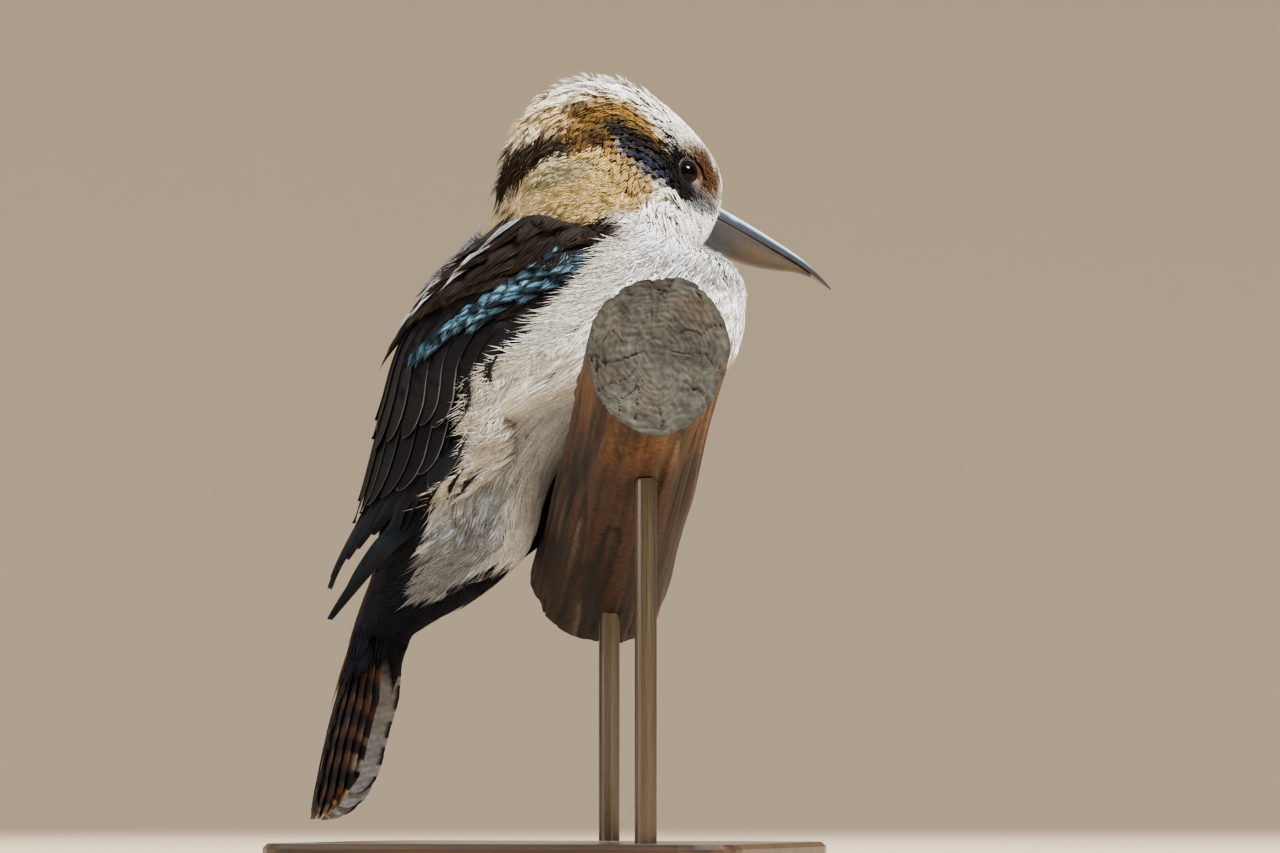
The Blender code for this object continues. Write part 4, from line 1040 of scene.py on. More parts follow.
vaneOffsets = np.array([-1.0, -0.9, -0.62, -0.3, 0.0, 0.3, 0.62, 0.9, 1.0])
vaneRows, vaneThick, vaneBow = 28, 0.3, 45.0
wingTones = {
    "primary": dict(base=(0.0045, 0.0055, 0.009), tip=(0.006, 0.007, 0.011), edge=(0.05, 0.07, 0.11)),
    "secondary": dict(base=(0.006, 0.0065, 0.009), tip=(0.009, 0.009, 0.012), edge=(0.24, 0.25, 0.28)),
    "greater": dict(base=(0.008, 0.008, 0.010), tip=(0.015, 0.013, 0.014), edge=(0.22, 0.21, 0.22)),
    "web": (0.014, 0.026, 0.045),
    "shaft": (0.005, 0.005, 0.006),
    "arm": (0.018, 0.013, 0.011),
}
# the stiff vanes. A tier: where its roots run from and to as (u, share), the tips as (u, share), half
# width, lift at root and tip, how far an edge is tilted, the power of the bend towards the tip, from
# which part of its length a vane narrows, and the strength of the blue sheen
wingTiers = {
    "primary": dict(
        roots=((2.9, 0.05), (3.5, 0.60)), half=4.7, lifts=(-2.4, -0.8), tilt=0.6,
        bend=4.0, narrow=0.88, sheen=0.5,
        tips=((7.62, -1.02), (7.32, -0.66), (7.0, -0.42), (6.65, -0.24), (6.16, 0.20), (6.40, 0.34),
              (6.55, 0.52), (6.72, 0.74), (6.92, 0.98), (7.10, 1.14)),
    ),
    "secondary": dict(
        roots=((2.3, 0.0), (2.6, 0.94)), half=6.4, lifts=(-0.8, 0.8), tilt=0.7,
        bend=1.5, narrow=0.76, sheen=0.6,
        tips=((5.62, -0.08), (5.15, 0.05), (5.0, 0.20), (5.38, 0.28), (5.53, 0.40), (5.66, 0.54), (5.84, 0.68),
              (5.98, 0.82), (5.70, 0.95)),
    ),
    "greater": dict(
        roots=((1.3, 0.0), (1.8, 0.95)), half=8.0, lifts=(-0.6, 2.2), tilt=0.9,
        bend=1.2, narrow=0.76, sheen=0.35,
        tips=((4.05, 0.0), (4.16, 0.12), (4.24, 0.22), (4.30, 0.31), (4.48, 0.42), (4.66, 0.57), (4.80, 0.72),
              (4.62, 0.86), (4.36, 0.96)),
    ),
}


def tierVanes(kind, side, seed):
    tier = wingTiers[kind]
    rng = np.random.default_rng(seed)
    tips = np.array(tier["tips"])
    count = len(tips)
    f = (np.arange(count) / (count - 1))[:, None]
    (rootU0, rootS0), (rootU1, rootS1) = tier["roots"]
    rootU, rootS = rootU0 + (rootU1 - rootU0) * f, rootS0 + (rootS1 - rootS0) * f
    if kind == "primary" and side == "left":
        tips = np.stack([7.2 - f[:, 0], 0.3 + 0.62 * f[:, 0]], -1)
    tipU, tipS = tips[:, :1] + rng.normal(0, 0.03, (count, 1)), tips[:, 1:]
    half = tier["half"] * rng.uniform(0.92, 1.06, (count, 1))
    s = (1 - (1 - np.linspace(0, 1, vaneRows)) ** 1.25)[None]
    share = rootS + (tipS - rootS) * s ** tier["bend"] + rng.normal(0, 0.008, (count, 1)) * np.sin(np.pi * s)
    lift0, lift1 = tier["lifts"]
    lift = lift0 + (lift1 - lift0) * clamp(s / 0.35) + rng.uniform(-0.3, 0.3, (count, 1)) * s
    centre, out = wingPoint(rootU + (tipU - rootU) * s, share, side, lift)
    tip = clamp((s - tier["narrow"]) / (1 - tier["narrow"]))
    outline = (0.5 + 0.5 * np.clip(s / 0.3, 0, 1) ** 0.7) * np.sqrt(np.clip(1 - tip**2.2, 0.004, 1))
    if kind == "primary":
        outline = outline * np.interp(s, (0, 0.5, 0.8, 1), (1, 1, 0.62, 0.2))
    outline = outline * (1 + rng.normal(0, 0.01, (count, vaneRows)))
    lean = tier["tilt"] * rng.uniform(0.7, 1.3, (count, 1)) + 0 * s
    if kind == "primary":
        lean = lean - 1.8 * ease((s - 0.55) / 0.4)
    lean = lean if side == "right" else -lean
    return centre, out, half * outline, lean, s, rng


def vaneColours(kind, count, s, rng):
    # base to tip along the vane, a thin pale edge that comes in towards the tip, a darker shaft,
    # and a blue sheen along the outer web of the long feathers
    tone = wingTones[kind]
    t = vaneOffsets[None, None]
    along = s[..., None]
    edge = clamp(ease((np.abs(t) - 0.9) / 0.08) * ease((along - 0.45) / 0.4) + ease((along - 0.985) / 0.012))
    value = mixRows(tone["base"], tone["tip"], along + 0 * t)
    value = value * (1 + rng.normal(0, 0.2, (count, 1, 1, 1)))
    return paint(value, wingTones, [
        (tone["edge"], edge * rng.uniform(0.25, 0.9, (count, 1, 1))),
        ("web", ease((-t - 0.1) / 0.4) * (1 - edge) * wingTiers[kind]["sheen"]),
        ("shaft", np.exp(-((t / 0.12) ** 2)) * 0.6 + 0 * along),
    ])


# the pad of the arm: the u where it ends, its top over the wing's surface and its depth along u
armLook = {
    "end": 4.6, "top": ((0, 0.5, 1.8, 2.5, 2.9, 4.6), (0.6, 2.4, 2.2, 0.6, -1.0, -1.8)),
    "deep": ((0, 0.5, 2.9, 4.6), (2.0, 4.6, 4.6, 3.0)), "rimDrop": 1.4,
}


def makeWing(side, seed):
    points, faces, colours, vanes = [], [], [], []
    offset = 0
    for order, kind in enumerate(wingTiers):
        centre, out, half, lean, s, rng = tierVanes(kind, side, seed + order)
        count = len(centre)
        part, quads = vaneArrays(centre, out, half, vaneOffsets, vaneThick, lean, vaneBow)[:2]
        colour = vaneColours(kind, count, s, rng)
        points.append(part.reshape(-1, 3))
        faces.append(quads + offset)
        colours.append(np.concatenate([colour, colour * 0.8], 1).reshape(-1, 3))
        vanes.append(vaneMap(count, s, vaneOffsets, 2.0))
        offset += len(points[-1])
    total = offset // (vaneRows * len(vaneOffsets) * 2)
    bake = cellMap(total, vaneRows, len(vaneOffsets))
    obj = makeMesh(
        "wingFeathers_" + side, np.concatenate(points), [np.concatenate(faces)],
        {"OFBake": bake, "vane": np.concatenate(vanes)}, {"plumage": np.concatenate(colours)}, wingMaterial,
    )
    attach(obj, "root")
    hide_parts("wing_" + side)
    print("wing", side, total, "vanes", len(obj.data.polygons) * 2, "triangles")
    # the arm under the feathers: a closed pad on the same surface
    us = np.linspace(0.0, armLook["end"], 60)[:, None]
    shares = np.linspace(0, 1, 25)[None]
    edge = np.sin(np.pi * shares) ** 0.5
    top = np.interp(us, *armLook["top"]) - armLook["rimDrop"] * (1 - edge)
    deep = np.interp(us, *armLook["deep"]) * edge
    upper = wingPoint(us, shares, side, top)[0]
    lower = wingPoint(us, shares, side, (top - 1.0) * (1 - edge) - deep)[0]
    rings = np.concatenate([upper, lower[:, ::-1]], 1)
    tone = np.broadcast_to(wingTones["arm"], rings.shape)
    bed = tubeObject("wingArm_" + side, rings, coatMaterial, tone, flip=side == "left")
    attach(bed, "root")
    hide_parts("wing_" + side)
def lobeLine(share):
    # where the brown shoulder feathers end: low on the wing near the neck, further down at the back
    return np.interp(share, (-0.1, 0.02, 0.15, 0.33, 0.59, 0.8, 1.1), (0.5, 0.9, 1.55, 2.3, 3.1, 3.6, 3.9))


# where the wing's feathers begin against the neck: share, and the u of the first tips there
shoulderStart = ((0.1, 0.41, 0.48, 0.54, 0.61, 0.8, 1.06), (0.15, 0.45, 0.6, 0.75, 0.9, 1.3, 1.6))


def scatter(count, seed, uRange, shareRange):
    pairs = evenPairs(count, seed)
    (u0, u1), (share0, share1) = uRange, shareRange
    return u0 + (u1 - u0) * pairs[:, 0], share0 + (share1 - share0) * pairs[:, 1]


def growWing(name, side, look, u, share, seed):
    # soft feathers on the wing's surface, rooted so that they end at the given places
    rng = np.random.default_rng(seed)
    here, _ = wingPoint(u, share, side)
    stepU = np.linalg.norm(wingPoint(u + 0.05, share, side)[0] - here, axis=-1) / 0.05
    stepShare = np.linalg.norm(wingPoint(u, share + 0.02, side)[0] - here, axis=-1) / 0.02
    lead = look["length"](u, share)
    turn = look["sweep"](u, share)
    u = u - lead * np.cos(turn) / stepU
    share = share - lead * np.sin(turn) / stepShare

    def surface(a, b, lift):
        over = look.get("over", 0.0) * (tuckDepth(a) - 1.0) * tuckShare(a, b)
        return wingPoint(a, b, side, lift + look["base"] + over)

    deep = np.full(len(u), look.get("deep", 2.0))
    blades = featherBlades(surface, look, u, share, rng, (stepU, stepShare), deep)
    blades["centre"] = clearOfLog(blades["centre"], 0.8)
    colour = np.array(look["tone"]) * (1 + rng.normal(0, look.get("vary", 0.15), len(u)))[:, None]
    rootMap = np.stack([np.clip(u, -1, 8) / 10 + 0.12, np.clip(share, -0.4, 1.3) / 2 + 0.25], -1)
    feathersObject(name + "_" + side, look, blades, colour, rootMap, coatMaterial, rng)


rimTones = {"lobe": (0.15, 0.115, 0.08), "covert": (0.075, 0.075, 0.085)}
blueTones = {"web": (0.05, 0.13, 0.20), "shaft": (0.26, 0.42, 0.52), "strengths": [0.12, 0.4, 0.8, 1.1, 1.3]}


def rimFinish(colour, tone, share):
    return colour + (np.array(tone) - colour) * share


def lobeFinish(colour, s, o, rng):
    # brown, streaked along the barbs, with a narrow pale rim at the end
    colour = colour * (1 - 0.35 * np.exp(-((o / 0.12) ** 2)))
    return rimFinish(colour, rimTones["lobe"], ease((s + 0.16 * o**2 - 0.93) / 0.07) * 0.75)


def blueFinish(colour, s, o, rng):
    # dark at the root, then sky blue with a paler shaft and a thin dark end; some stay dark
    shaft = np.exp(-((o[..., 0] / 0.35) ** 2)) * 0.8 + 0 * s[..., 0]
    blue = mixRows(blueTones["web"], blueTones["shaft"], shaft)
    blue = blue * rng.choice(blueTones["strengths"], (colour.shape[0], 1, 1, 1))
    blue = blue * (1 + rng.normal(0, 0.12, colour.shape[:2] + (1, 1)))
    share = ease((s - 0.35) / 0.2) * (1 - 0.7 * ease((s + 0.12 * o**2 - 0.9) / 0.1))
    return colour + (blue - colour) * share


def darkFinish(colour, s, o, rng):
    return rimFinish(colour, rimTones["covert"], ease((s + 0.1 * o**2 - 0.9) / 0.1) * 0.5)


wingLooks = {
    "coverts": dict(
        strands=9, rows=5, tone=(0.013, 0.011, 0.014), length=fixed(15.0), half=fixed(4.4), base=1.6,
        sweep=fixed(0.05), rise=fixed(1.2), pointed=0.2, pinch=0.4, frayed=0.04, untidy=0.08,
        finish=darkFinish, shade=(0.8, 1.0, 1.1),
    ),
    "blueCoverts": dict(
        strands=9, rows=5, tone=(0.015, 0.014, 0.018), length=fixed(11.5), half=fixed(3.1), base=3.0,
        sweep=fixed(0.02), rise=fixed(1.8), pointed=0.22, pinch=0.35, frayed=0.05, untidy=0.14,
        finish=blueFinish, shade=(0.8, 1.0, 1.1),
    ),
    "shoulderFeathers": dict(
        strands=17, rows=6, tone=(0.024, 0.017, 0.014), length=lambda u, v: 17 + 4 * clamp(u, 3),
        half=lambda u, v: 6.0 + 1.2 * clamp(u, 3), base=3.0, sweep=fixed(-0.12), rise=fixed(2.6),
        pointed=0.28, pinch=0.35, frayed=0.03, untidy=0.08, camber=0.16, finish=lobeFinish,
        shade=(0.7, 0.95, 1.15), streaky=0.16, vary=0.22,
    ),
    "whiteStreaks": dict(
        strands=7, rows=5, tone=(0.50, 0.53, 0.58), length=fixed(20.0), half=fixed(2.0), base=5.2,
        sweep=fixed(0.0), rise=fixed(1.0), pointed=0.4, pinch=0.6, frayed=0.1, untidy=0.12,
        shade=(0.3, 0.9, 1.0), vary=0.2,
    ),
    "downyPatch": dict(
        strands=6, rows=4, tone=(0.27, 0.26, 0.265), length=fixed(9.0), half=fixed(2.8), base=3.5,
        sweep=fixed(-0.3), rise=fixed(2.8), pointed=0.2, pinch=0.0, frayed=0.25, untidy=0.7,
        curl=0.5, fullness=0.55, vary=0.35,
    ),
    "flankFringe": dict(
        strands=4, rows=6, tone=(0.86, 0.84, 0.77), length=fixed(14.0), half=fixed(1.4), base=1.5,
        sweep=fixed(0.6), rise=fixed(2.6), pointed=0.2, pinch=-0.5, frayed=0.22, untidy=0.2,
        curl=0.25, fullness=0.55, deep=3.0, over=1.0, shade=(0.62, 0.97, 1.0),
    ),
}
# the sky blue coverts: the middle of their band as u and share, and half its width
blueLine = ((0.35, 0.7, 1.2, 1.8, 2.4, 3.0, 3.4), (0.03, 0.06, 0.07, 0.12, 0.19, 0.33, 0.47))
blueWidth = ((0.4, 1.2, 2.0, 3.4), (0.13, 0.12, 0.085, 0.03))
# the white streaks' tips, as u and share
streakSpots = np.array([
    (1.0, 0.55), (1.42, 0.56), (1.62, 0.62), (2.1, 0.58), (2.62, 0.69), (2.35, 0.75), (2.95, 0.77),
])


def dressWing(side, seed):
    u, share = scatter(210, 1, (0.4, 3.9), (-0.22, 0.62))
    under = (u > lobeLine(share) - 0.25) & (share > edgeLine(u) + 0.02)
    growWing("coverts", side, wingLooks["coverts"], u[under], share[under], seed)
    u, row = scatter(76, 6, (0.8, 3.45), (-1.0, 1.0))
    share = np.interp(u, *blueLine) + row * np.interp(u, *blueWidth)
    growWing("blueCoverts", side, wingLooks["blueCoverts"], u, share, seed + 1)
    u, share = scatter(96, 2, (0.15, 3.9), (0.0, 1.06))
    over = (u < lobeLine(share) + 0.02) & (u > np.interp(share, *shoulderStart))
    growWing("shoulderFeathers", side, wingLooks["shoulderFeathers"], u[over], share[over], seed + 2)
    growWing("whiteStreaks", side, wingLooks["whiteStreaks"], streakSpots[:, 0], streakSpots[:, 1], seed + 3)
    u, share = scatter(90, 3, (1.0, 2.1), (0.78, 0.93))
    growWing("downyPatch", side, wingLooks["downyPatch"], u, share, seed + 4)
    u, share = scatter(600, 4, (0.2, 5.5), (-0.11, 0.06))
    growWing("flankFringe", side, wingLooks["flankFringe"], u, share + edgeLine(u), seed + 5)


print("wings")
for wingSide, wingSeed in (("right", 101), ("left", 131)):
    makeWing(wingSide, wingSeed)
    dressWing(wingSide, wingSeed + 40)


# the tail

tailRidge = np.array([(-127.0, 0.0, -83.0), (-140.0, 0.0, -124.0), (-149.5, 0.0, -167.0)])
# tips to layer: how far each pair of vanes reaches, its half width, the degrees from the ridge to the
# first pair and on to the next, and how far a pair lies under the one before
tailLook = {
    "length": 88.0, "arch": (19.6, 17.0), "start": 2.5, "tips": (87.0, 86.5, 85.0, 82.0, 77.5, 70.5),
    "half": (7.6, 8.8, 9.8, 10.2, 10.2, 9.8), "first": 8.5, "step": 10.6, "layer": 1.18, "bow": 18.0,
    "rows": 70, "thick": 0.34, "barLength": 12.0,
}
tailTones = {
    "rufousDark": (0.048, 0.021, 0.012), "rufous": (0.095, 0.045, 0.023), "dark": (0.018, 0.015, 0.018),
    "buff": (0.50, 0.34, 0.18), "spot": (0.020, 0.014, 0.012), "white": (0.80, 0.79, 0.76),
    "side": (0.55, 0.50, 0.44), "pale": (0.62, 0.64, 0.68), "vein": (0.48, 0.50, 0.54),
    "notch": (0.035, 0.028, 0.030), "root": (0.018, 0.014, 0.014),
}
# rings of the root that the vanes grow from: place along the tail, degrees wide, top and underside
tailRoot = ((5.0, 66.0, 1.0, -12.0), (10.0, 64.0, 0.4, -11.0), (17.0, 52.0, -2.0, -8.0))
tailOffsets = np.array([-1.0, -0.93, -0.75, -0.5, -0.25, -0.08, 0.08, 0.25, 0.5, 0.75, 0.93, 1.0])


def tailPoint(along, angle, height):
    # a point of the tail: along its ridge, round its arch from the ridge, and off the arch outwards
    t = 2 * np.asarray(along, float) / tailLook["length"]
    ridge = smoothKeys(tailRidge, t)
    way = unit(smoothKeys(tailRidge, t + 0.02) - smoothKeys(tailRidge, t - 0.02))
    back = np.stack([way[..., 2], np.zeros_like(way[..., 0]), -way[..., 0]], axis=-1)
    arch = tailLook["arch"]
    radius = (arch[0] + (arch[1] - arch[0]) * t / 2)[..., None]
    a = np.radians(angle)[..., None]
    out = back * np.cos(a) + np.array([0, 1.0, 0]) * np.sin(a)
    return ridge - back * radius + out * (radius + np.asarray(height)[..., None]), out


def tailColours(mmAlong, tips, t, index, middle, rng):
    # dark and rufous bars that climb outwards over the arch, then a buff end with dark spots and a
    # white rim; the underside is pale with faint veins and dark notches at its edges
    count = len(index)
    pair = index[:, None, None]
    wobble = cloud(places(mmAlong, 14.0 * t, 40.0 * pair), 5.0, 51)
    arc = 17.5 * np.arcsin(clamp(np.abs(middle[..., 1]) / 17.5))
    phase = mmAlong + 0.8 * arc + 2.0 * wobble + rng.uniform(-0.7, 0.7, (count, 1, 1))
    dark = ease((np.sin(phase / tailLook["barLength"] * 2 * np.pi) + 0.45) / 0.3)
    toEnd = tips[..., None] - mmAlong + 2.0 * wobble
    spots = np.exp(-(((toEnd - 4.5) / 1.5) ** 2) - (((np.abs(t) - 0.42) / 0.2) ** 2))
    side = ease((pair - 3.5) / 1.0) * ease((np.abs(t) - 0.6) / 0.3) * (1 - dark) * ease((mmAlong - 40) / 20)
    top = paint(mixRows(tailTones["rufousDark"], tailTones["rufous"], 0.5 + 0.5 * wobble), tailTones, [
        ("dark", dark),
        ("buff", ease((9.5 - toEnd) / 2.0) * (1 - 0.75 * dark * ease((toEnd - 3) / 2))),
        ("spot", clamp(spots * 1.3)),
        ("white", ease((2.2 - toEnd) / 1.2)),
        ("side", side * 0.6),
    ])
    veins = 0.5 + 0.5 * np.sin(mmAlong * 1.9 + 9 * np.abs(t))
    notch = clamp(dark * ease((np.abs(t) - 0.72) / 0.2) + 0.12 * dark)
    under = paint(mixRows(tailTones["pale"], tailTones["vein"], veins), tailTones, [("notch", notch)])
    return np.concatenate([top.reshape(count, -1, 3), under.reshape(count, -1, 3)], 1).reshape(-1, 3)


def makeTail():
    rows = tailLook["rows"]
    index = np.repeat(np.arange(len(tailLook["tips"])), 2)
    count = len(index)
    sign = np.tile([1.0, -1.0], count // 2)
    rng = np.random.default_rng(57)
    s = (1 - (1 - np.linspace(0, 1, rows)) ** 1.15)[None]
    opened = 0.72 + 0.28 * clamp(s / 0.4)
    angle = (sign * (tailLook["first"] + tailLook["step"] * index))[:, None] * opened
    layer = tailLook["layer"] * (index + (index > 0)) + np.where(sign < 0, tailLook["layer"] / 2, 0) + 0.3
    tips = np.array(tailLook["tips"])[index][:, None]
    along = tailLook["start"] + (tips - tailLook["start"]) * s
    centre, out = tailPoint(along, angle, -layer[:, None] + 0 * s)
    tip = clamp((s - 0.78) / 0.22)
    outline = np.interp(s, (0, 0.4, 1), (0.6, 0.95, 1.0)) * np.sqrt(np.clip(1 - tip**2.2, 0.004, 1))
    half = np.array(tailLook["half"])[index][:, None] * outline * (1 + rng.normal(0, 0.008, (count, rows)))
    points, faces, middle = vaneArrays(
        centre, out, half, tailOffsets, tailLook["thick"], np.zeros((count, rows)), tailLook["bow"]
    )
    colours = tailColours(along[..., None], tips, tailOffsets[None, None], index, middle, rng)
    maps = {"OFBake": cellMap(count, rows, len(tailOffsets)), "vane": vaneMap(count, s, tailOffsets, 3.0)}
    obj = makeMesh("tailFeathers", points.reshape(-1, 3), [faces], maps, {"plumage": colours}, tailMaterial)
    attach(obj, "root")
    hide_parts("tail")
    # the root: closed rings that start from the body's last one
    around = np.linspace(0, 2 * np.pi, 40, endpoint=False)
    rings = [bodyRaw(np.full(40, bodyEnd), around)]
    for place, wide, top, bottom in tailRoot:
        height = (top + bottom) / 2 + (top - bottom) / 2 * np.cos(around)
        rings.append(tailPoint(np.full(40, place), -wide * np.sin(around), height)[0])
    tone = np.broadcast_to(tailTones["root"], (len(rings), 40, 3))
    root = tubeObject("tailRoot", rings, coatMaterial, tone)
    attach(root, "root")
    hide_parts("tail")


print("tail")
makeTail()


# the bill


def hornMaterial(name, roughness, streak):
    # smooth horn with fine lines along it
    material, shader = startMaterial(name, roughness, Coat_Weight=0.25, Coat_Roughness=0.2)
    lines = addPattern(material, "TexNoise", 1.0, (60.0, 700.0, 700.0), (0.0, 0.42, 0.75), Detail=4.0)
    tintShader(material, shader, lines, ((0.3, 1 - streak), (0.7, 1 + streak)))
    addBump(material, shader, lines, 0.3, 0.0004)
    return material


billLook = {
    # along, culmen or mouth height, mouth or chin height, half width
    "upper": np.array([
        (0.0, 6.9, 0.0, 10.0), (8.0, 6.7, 0.0, 9.3), (18.0, 6.3, 0.0, 8.1), (29.0, 5.5, 0.0, 6.6),
        (39.0, 4.6, 0.0, 5.2), (48.0, 3.4, -0.2, 3.9), (56.0, 1.4, -1.2, 2.5), (62.0, -0.8, -2.2, 1.3),
        (65.5, -2.3, -2.9, 0.5),
    ]),
    "lower": np.array([
        (0.0, 0.0, -9.8, 9.6), (8.0, 0.0, -10.9, 9.0), (18.0, 0.0, -11.0, 7.8), (28.0, 0.0, -9.4, 6.2),
        (38.0, 0.0, -6.4, 4.6), (47.0, -0.2, -3.2, 3.0), (54.0, -1.1, -2.0, 1.2),
    ]),
    "mouth": 12.1, "drop": math.radians(2), "fullness": 0.85, "gap": 0.3,
    "nostril": (7.5, 3.6), "dent": 0.13, "groove": 0.035, "grooveAngle": 0.75, "grooveWidth": 0.16,
    "length": 65.5, "rows": 120, "sides": 49,
}
billTones = {
    "upper": (0.026, 0.036, 0.048), "paintedRidgeHighlight": (0.42, 0.56, 0.70), "upperTip": (0.030, 0.028, 0.026),
    "edge": (0.020, 0.022, 0.026), "lower": (0.052, 0.036, 0.022), "lowerRoot": (0.018, 0.019, 0.027),
    "lowerTip": (0.035, 0.031, 0.032),
}


def billFrame():
    topX, topZ, lowX, lowZ = bodyKeys[0][:4]
    up = unit(np.array([topX - lowX, 0, topZ - lowZ]))
    origin = np.array([lowX, 0, lowZ]) + up * billLook["mouth"]
    up = unit(up + np.array([up[2], 0, -up[0]]) * math.tan(billLook["drop"]))
    return origin, np.array([up[2], 0, -up[0]]), up


def makeBill(half):
    # half an ellipse over a flat mouth line, carried along the bill and turned with the head
    upper = half == "upper"
    origin, forward, up = billFrame()
    table = billLook[half]
    u = np.linspace(0, len(table) - 1, billLook["rows"])
    along, high, low, wide = np.moveaxis(smoothKeys(table, u)[:, None], -1, 0)
    angle = np.linspace(0, np.pi, billLook["sides"])[None]
    gap = billLook["gap"]
    flat, crest = (low + gap / 2, high) if upper else (high - gap / 2, low)
    top = np.sin(angle)
    rise = flat + (crest - flat) * top ** billLook["fullness"]
    across = wide * np.cos(angle)
    # a shallow groove runs from the nostril, which is a dent
    if upper:
        near, far = angle - billLook["grooveAngle"], angle - np.pi + billLook["grooveAngle"]
        groove = sum(np.exp(-((away / billLook["grooveWidth"]) ** 2)) for away in (near, far))
        across = across * (1 - billLook["groove"] * groove * ease((30 - along) / 20))
        nose = np.hypot((along - billLook["nostril"][0]) / 2.6, (rise - billLook["nostril"][1]) / 1.2)
        across = across * (1 - billLook["dent"] * ease(1.4 - nose))
    points = origin + forward * (along + gap)[..., None] + up * rise[..., None]
    points = turnHead(points + np.array([0, 1.0, 0]) * across[..., None])
    reach = along / billLook["length"]
    if upper:
        colour = paint(billTones["upper"], billTones, [
            # painted highlight: a pale blue band along the top of the upper bill
            ("paintedRidgeHighlight", ease((top - 0.34) / 0.36) * ease((0.98 - reach) / 0.4)),
            ("upperTip", ease((reach - 0.66) / 0.3) * 0.9 + 0 * top),
            ("edge", 0.8 * ease((0.16 - top) / 0.16)),
        ])
    else:
        colour = paint(billTones["lower"], billTones, [
            ("lowerRoot", ease((0.38 - reach) / 0.3) + 0 * top),
            ("lowerTip", clamp(ease((0.35 - top) / 0.3) * 0.8 + ease((reach - 0.66) / 0.2))),
        ])
    material = hornMaterial("billHorn_" + half, 0.34 if upper else 0.42, 0.2)
    obj = tubeObject("billHorn_" + half, points, material, colour, flip=not upper)
    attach(obj, "root")
    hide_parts("bill_" + half)


print("bill")
makeBill("upper")
makeBill("lower")


# the eyes and lids


eyeTones = {
    "pupil": (0.0015, 0.0015, 0.0018), "iris": (0.003, 0.0021, 0.0017), "rim": (0.004, 0.004, 0.005),
    "lid": (0.016, 0.013, 0.013), "lidEdge": (0.07, 0.06, 0.058),
}


def eyeMaterial():
    # wet and smooth, with fine flecks
    material, shader = startMaterial("eyeWet", 0.04, Specular_IOR_Level=0.16)
    fleck = addPattern(material, "TexNoise", 1800.0, Detail=2.0)
    tintShader(material, shader, fleck, ((0.3, 0.6), (0.7, 1.4)))
    return material


def makeEye(side, material, lidMaterial):
    # a ball with a bulged front: a near black pupil, a dark brown iris and a dark rim, by the angle
    # from the eye's own axis
    centre, facing, level, upright = eyeAxes(side)
    polar = np.linspace(0.012, np.pi - 0.012, 64)[:, None]
    turn = np.linspace(0, 2 * np.pi, 72, endpoint=False)[None]
    bulge = 1 + eyeSize["bulge"] * ease((0.75 - polar) / 0.5)
    spoke = np.cos(turn)[..., None] * level + np.sin(turn)[..., None] * upright
    ball = centre + eyeSize["radius"] * (np.cos(polar) * bulge)[..., None] * facing
    ball = ball + eyeSize["radius"] * np.sin(polar)[..., None] * spoke
    away = polar + 0 * turn
    colour = paint(eyeTones["pupil"], eyeTones, [
        ("iris", ease((away - 0.50) / 0.05)), ("rim", ease((away - 0.80) / 0.06)),
    ])
    eye = tubeObject("eyeball_" + side, ball, material, colour)
    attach(eye, "root")
    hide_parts("eye_" + side)
    # the lids: two rows of small folds round the opening, a little longer than high
    steps, around = 120, 20
    a = np.linspace(0, 2 * np.pi, steps, endpoint=False)[:, None]
    b = np.linspace(0, 2 * np.pi, around, endpoint=False)[None]
    folds = 1 + 0.07 * np.sin(26 * a) * (np.cos(b) > 0) + 0.05 * np.sin(41 * a + 1)
    spoke = eyeSize["lidWidth"] * np.cos(a)[..., None] * level + np.sin(a)[..., None] * upright
    reach = math.sqrt(eyeSize["radius"] ** 2 - eyeSize["opening"] ** 2)
    thick = eyeSize["lid"] * folds
    ring = (centre + (reach + thick * np.sin(b) - 0.1)[..., None] * facing
            + spoke * (eyeSize["opening"] + 0.5 + thick * np.cos(b))[..., None])
    quads = np.arange(steps * around).reshape(steps, around)
    below, right = np.roll(quads, -1, 0), np.roll(quads, -1, 1)
    corners = np.stack([quads, below, np.roll(below, -1, 1), right], -1).reshape(-1, 4)
    i, j = np.meshgrid(np.arange(steps), np.arange(around), indexing="ij")
    uv = np.stack([i, j, i + 1, j, i + 1, j + 1, i, j + 1], -1).reshape(-1, 2) / [steps, around]
    tone = mixRows(eyeTones["lid"], eyeTones["lidEdge"], ease((folds - 1) / 0.09) * 0.6)
    maps = {"OFBake": uv * 0.98 + 0.01}
    lid = makeMesh("lids_" + side, ring, [corners], maps, {"plumage": tone}, lidMaterial)
    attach(lid, "root")
    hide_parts("head")


print("eyes")
wetEye = eyeMaterial()
lidSkin = plumageMaterial("lidSkin", 0.5, 0.0, 2500.0)
for eyeSide in ("left", "right"):
    makeEye(eyeSide, wetEye, lidSkin)


# the log


def logPoint(along, angle, height=0.0):
    # a point over the log: along it, round it from its top towards the bird's front
    side = logUp * np.cos(angle)[..., None] + logFront * np.sin(angle)[..., None]
    return logEnd + logWay * np.asarray(along)[..., None] + side * (logRadius + np.asarray(height))[..., None]


# knot: its place along and round the log; waves: height, times round, shift, and length along
logLook = {
    "knot": (52.0, math.radians(-62)), "cracks": 15, "ringStep": 2.1, "rows": 230, "sides": 210,
    "waves": ((0.9, 2, 0.6, 60), (0.6, 3, -1.1, -41), (0.4, 5, 0.0, 29)),
    "calm": (147.0, 38.0), "patternRadius": 26,
}
logTones = {
    "red": (0.052, 0.024, 0.015), "dark": (0.012, 0.009, 0.008), "pale": (0.20, 0.155, 0.125),
    "orange": (0.125, 0.062, 0.026), "moss": (0.055, 0.058, 0.045), "ringLow": (0.046, 0.048, 0.041),
    "ringHigh": (0.058, 0.058, 0.048), "stain": (0.024, 0.023, 0.019), "warm": (0.068, 0.050, 0.030),
    "rim": (0.022, 0.020, 0.017), "crack": (0.012, 0.010, 0.009),
}


